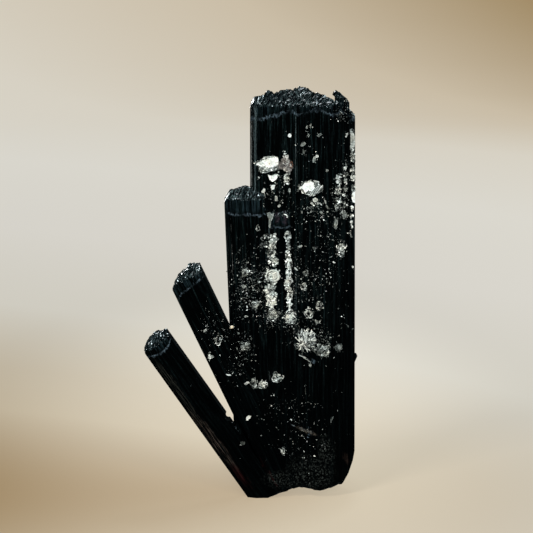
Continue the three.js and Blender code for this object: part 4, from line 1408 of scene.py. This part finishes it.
def flake(draw, width, height, thickness=0.04):
    """A scrap of one leaf, thin enough to have no more than a face, an edge and an underside."""
    count = draw.integers(3, 6)
    around = (np.arange(count) + draw.uniform(-0.35, 0.35, count)) * 2 * math.pi / count
    outline = np.column_stack([np.cos(around) * width, np.sin(around) * height]) / 2
    outline *= draw.uniform(0.55, 1.3, (count, 1))
    return leaf_of(outline, np.zeros(count), thickness, rings=((1.0, 0.0),))


def larger_flakes(strewn):
    """The larger flakes, each with a few tiny ones beside it."""
    draw = strewn.draw
    for x, z, wide, tall, turn, tone in LARGE_FLAKES:
        seat = on_face(x, z, strewn.sight)
        if seat is None:
            continue
        rim = hexagon(draw, wide * 1.15, tall * 1.15, step=0.4, rough=0.05)
        leaf = curled(draw, rim, thickness=0.1, curl=0.06)
        tipped = math.radians(draw.uniform(5, 25))
        strewn.add(leaf, (0, 0, 0.12), 0, tipped, math.radians(turn), tone=tone, seat=seat)
        for _ in range(3):
            beside = (x + wide * draw.normal() * 0.7, z + tall * draw.normal() * 0.7)
            strewn.pile(beside, (0.3, 0.3), 1, (0.2, 0.45), 0.4, high=0.1)


def standing_leaves(strewn):
    """The wedge and the curl on the slim crystal, and the leaf that stands off the right edge."""
    draw, sight = strewn.draw, strewn.sight
    rim = torn(draw, WEDGE, *WEDGE_SIZE, rough=0.06)
    wedge = curled(draw, rim, thickness=0.1, curl=0.08)
    strewn.add(wedge, (0, 0, 0.25), tone=0.5, seat=on_face(*WEDGE_PLACE, sight))
    hook = rolled_leaf(HOOK_RADIUS, 2.2, 0.34, 0.2)
    strewn.add(hook, (-HOOK_RADIUS, 0, 0.3), -0.5, tone=0.85, seat=on_face(*HOOK_PLACE, sight))
    rim = hexagon(draw, *EDGE_LEAF_SIZE, step=0.4, rough=0.05)
    leaf = curled(draw, rim, thickness=0.1, curl=0.06)
    quarter, off_the_face = math.pi / 2, math.radians(-42)
    seat = on_face(*EDGE_LEAF_PLACE, sight)
    strewn.add(leaf, (0.1, 0, 0.6), -quarter, off_the_face, quarter, tone=1.0, seat=seat)


for number, (side, patches) in enumerate(FLAKES.items()):
    strewn = Mica("flakes_" + side, 6000 + number, seated=False)
    draw = strewn.draw
    if side == "front":
        larger_flakes(strewn)
        standing_leaves(strewn)
    for beside, (over, above), (wide, tall), count in patches:
        middle_x, middle_z = extent_of("zinnwaldite_" + beside)[:2]
        for _ in range(count):
            x = middle_x + over + wide * draw.normal() * 0.7
            z = middle_z + above + tall * draw.normal() * 0.7
            size = float(np.clip(0.3 * math.exp(0.5 * draw.normal()), 0.12, 0.9))
            shape = flake(draw, size, size * draw.uniform(0.25, 0.8))
            spin, tilt, lean = draw.uniform(0, 6), math.radians(draw.uniform(-50, 50)), draw.uniform(0, 6)
            tone = 0.03 + 0.95 * draw.random() ** 1.8
            seat = on_face(x, z, strewn.sight)
            if seat is not None:
                strewn.add(shape, (0, 0, 0.02 + 0.14 * size), spin, tilt, lean, tone=tone, seat=seat)
    strewn.finish("", silver_mica)

# ---------------------------------------------------------------- the studio
# A plain pale floor that curves up all round and glows with painted light, soft lights in front and above,
# two dim strips of light at the left that draw out the striae, and two soft lights behind and at the right.

FLOOR_RADIUS = 1.25
CORNER_RADIUS = 0.5
WALL_TOP = 1.6
AROUND = np.linspace(0, 2 * math.pi, 96, endpoint=False)

profile = [(0.02, 0), (0.4, 0), (0.9, 0), (FLOOR_RADIUS, 0)]
for bend in np.linspace(0.1, math.pi / 2, 12):
    profile.append((FLOOR_RADIUS + CORNER_RADIUS * math.sin(bend), CORNER_RADIUS * (1 - math.cos(bend))))
profile.append((FLOOR_RADIUS + CORNER_RADIUS, WALL_TOP))
rings = np.array([[(r * math.cos(t), r * math.sin(t), z) for t in AROUND] for r, z in profile])
floor = mesh_object("studio_floor", rings.reshape(-1, 3), skin(rings)[:-1])
for polygon in floor.data.polygons:
    polygon.use_smooth = True

# How far out, as a share of 2 m, the floor has which colour and how much painted light it glows with
# there. The painted light is darker near the front on the left, and far behind on the right.
PAINT = [(0.0, (0.11, 0.08, 0.04)), (0.035, (0.10, 0.08, 0.06)), (0.07, (0.10, 0.08, 0.06)),
         (0.14, (0.10, 0.09, 0.07))]
PAINTED_GLOW = [
    (0.0, (0.19, 0.12, 0.05)), (0.035, (0.39, 0.33, 0.23)), (0.07, (0.43, 0.38, 0.29)),
    (0.14, (0.56, 0.54, 0.48)), (0.26, (0.63, 0.61, 0.56)), (0.42, (0.67, 0.65, 0.59)),
    (0.6, (0.66, 0.62, 0.535)), (0.75, (0.57, 0.49, 0.37)), (0.9, (0.29, 0.19, 0.07)),
]
pale = Finish("pale_floor")
place = pale.place()
share = pale.ranged(pale.vector("LENGTH", {0: place}, "Value"), 0.0, 2.0, clamp=False)
share = pale.added(pale.parts_of(place)[0], 0.5, share)
# A painted pool of light, glowing from the floor, lies round the object and behind it and lightens the
# shadows that the lamps cast there.
laid = pale.laid(place, "TEXTURE", Location=(0, 0.1, 0), Scale=(0.1, 0.3, 1))
painted_pool = pale.vector("LENGTH", {0: laid}, "Value")
painted_pool = pale.ranged(painted_pool, 1.15, 0.15, interpolation_type="SMOOTHSTEP")
painted_glow = pale.mixed(painted_pool, pale.ramp(share, PAINTED_GLOW), (0.23, 0.225, 0.2, 1), "ADD")
floor.data.materials.append(pale.surface({
    "Base Color": pale.ramp(share, PAINT), "Roughness": 0.6,
    "Emission Color": painted_glow, "Emission Strength": 1.0,
}))
floor.visible_glossy = False
floor.visible_diffuse = False
floor.visible_shadow = False

middle = (cad_box[0] + cad_box[1]) / 2


def soft_light(name, azimuth, elevation, distance, size, power, color):
    """A soft rectangle of light that shines on the middle of the object from one direction."""
    lamp = bpy.data.lights.new(name, "AREA")
    lamp.shape = "RECTANGLE"
    lamp.size, lamp.size_y = size
    lamp.energy = power
    lamp.color = color
    lit = bpy.data.objects.new(name, lamp)
    bpy.context.scene.collection.objects.link(lit)
    a, e = math.radians(azimuth), math.radians(elevation)
    toward = Vector((math.sin(a) * math.cos(e), -math.cos(a) * math.cos(e), math.sin(e)))
    lit.location = middle + toward * distance
    lit.rotation_euler = toward.to_track_quat("Z", "Y").to_euler()
    lit.visible_camera = False
    return lit


soft_light("key", -28, 38, 0.9, (0.24, 0.24), 10, (1, 1, 0.985))
soft_light("fill", 16, 24, 0.95, (0.2, 0.2), 5, (1, 1, 1))
soft_light("left_strip", -62, -1.3, 0.7, (0.06, 0.17), 0.115, (0.85, 1, 0.98))
soft_light("left_rim", -118, -4, 0.7, (0.035, 0.6), 0.28, (1, 0.98, 0.9))
soft_light("top", 170, 58, 0.9, (0.25, 0.2), 1.2, (0.95, 0.98, 1))
# Two more light the back and the right side, and leave the floor as it is.
all_but_floor = bpy.data.collections.new("all_but_floor")
all_but_floor.objects.link(floor)
all_but_floor.collection_objects[0].light_linking.link_state = "EXCLUDE"
for lamp in (
    soft_light("back_key", 207, 15, 0.9, (0.24, 0.24), 5, (1, 1, 0.985)),
    soft_light("side", 112, 8, 0.9, (0.12, 0.3), 1.2, (0.9, 1, 0.98)),
):
    lamp.light_linking.receiver_collection = all_but_floor

# A trace of light comes from all round.
world = bpy.data.worlds.new("studio")
bpy.context.scene.world = world
world.use_nodes = True
world.node_tree.nodes["Background"].inputs[0].default_value = (0.75, 0.95, 1, 1)
world.node_tree.nodes["Background"].inputs[1].default_value = 0.015

CAMERA_DISTANCE = 0.85
CAMERA_ELEVATION = math.radians(8)
AIM_ACROSS = 4.5 * MM     # of the point that the camera looks at
AIM_UP = 0.56             # of the object's height

camera = bpy.data.cameras.new("camera")
camera.lens = 191.4
camera.sensor_width = 36
camera.clip_end = 10
looker = bpy.data.objects.new("camera", camera)
bpy.context.scene.collection.objects.link(looker)
target = Vector((AIM_ACROSS, 0, AIM_UP * cad_box[1].z))
away = Vector((0, -math.cos(CAMERA_ELEVATION), math.sin(CAMERA_ELEVATION)))
looker.location = target + away * CAMERA_DISTANCE
looker.rotation_euler = (math.pi / 2 - CAMERA_ELEVATION, 0, 0)
bpy.context.scene.camera = looker
bpy.context.scene.view_settings.view_transform = "Standard"
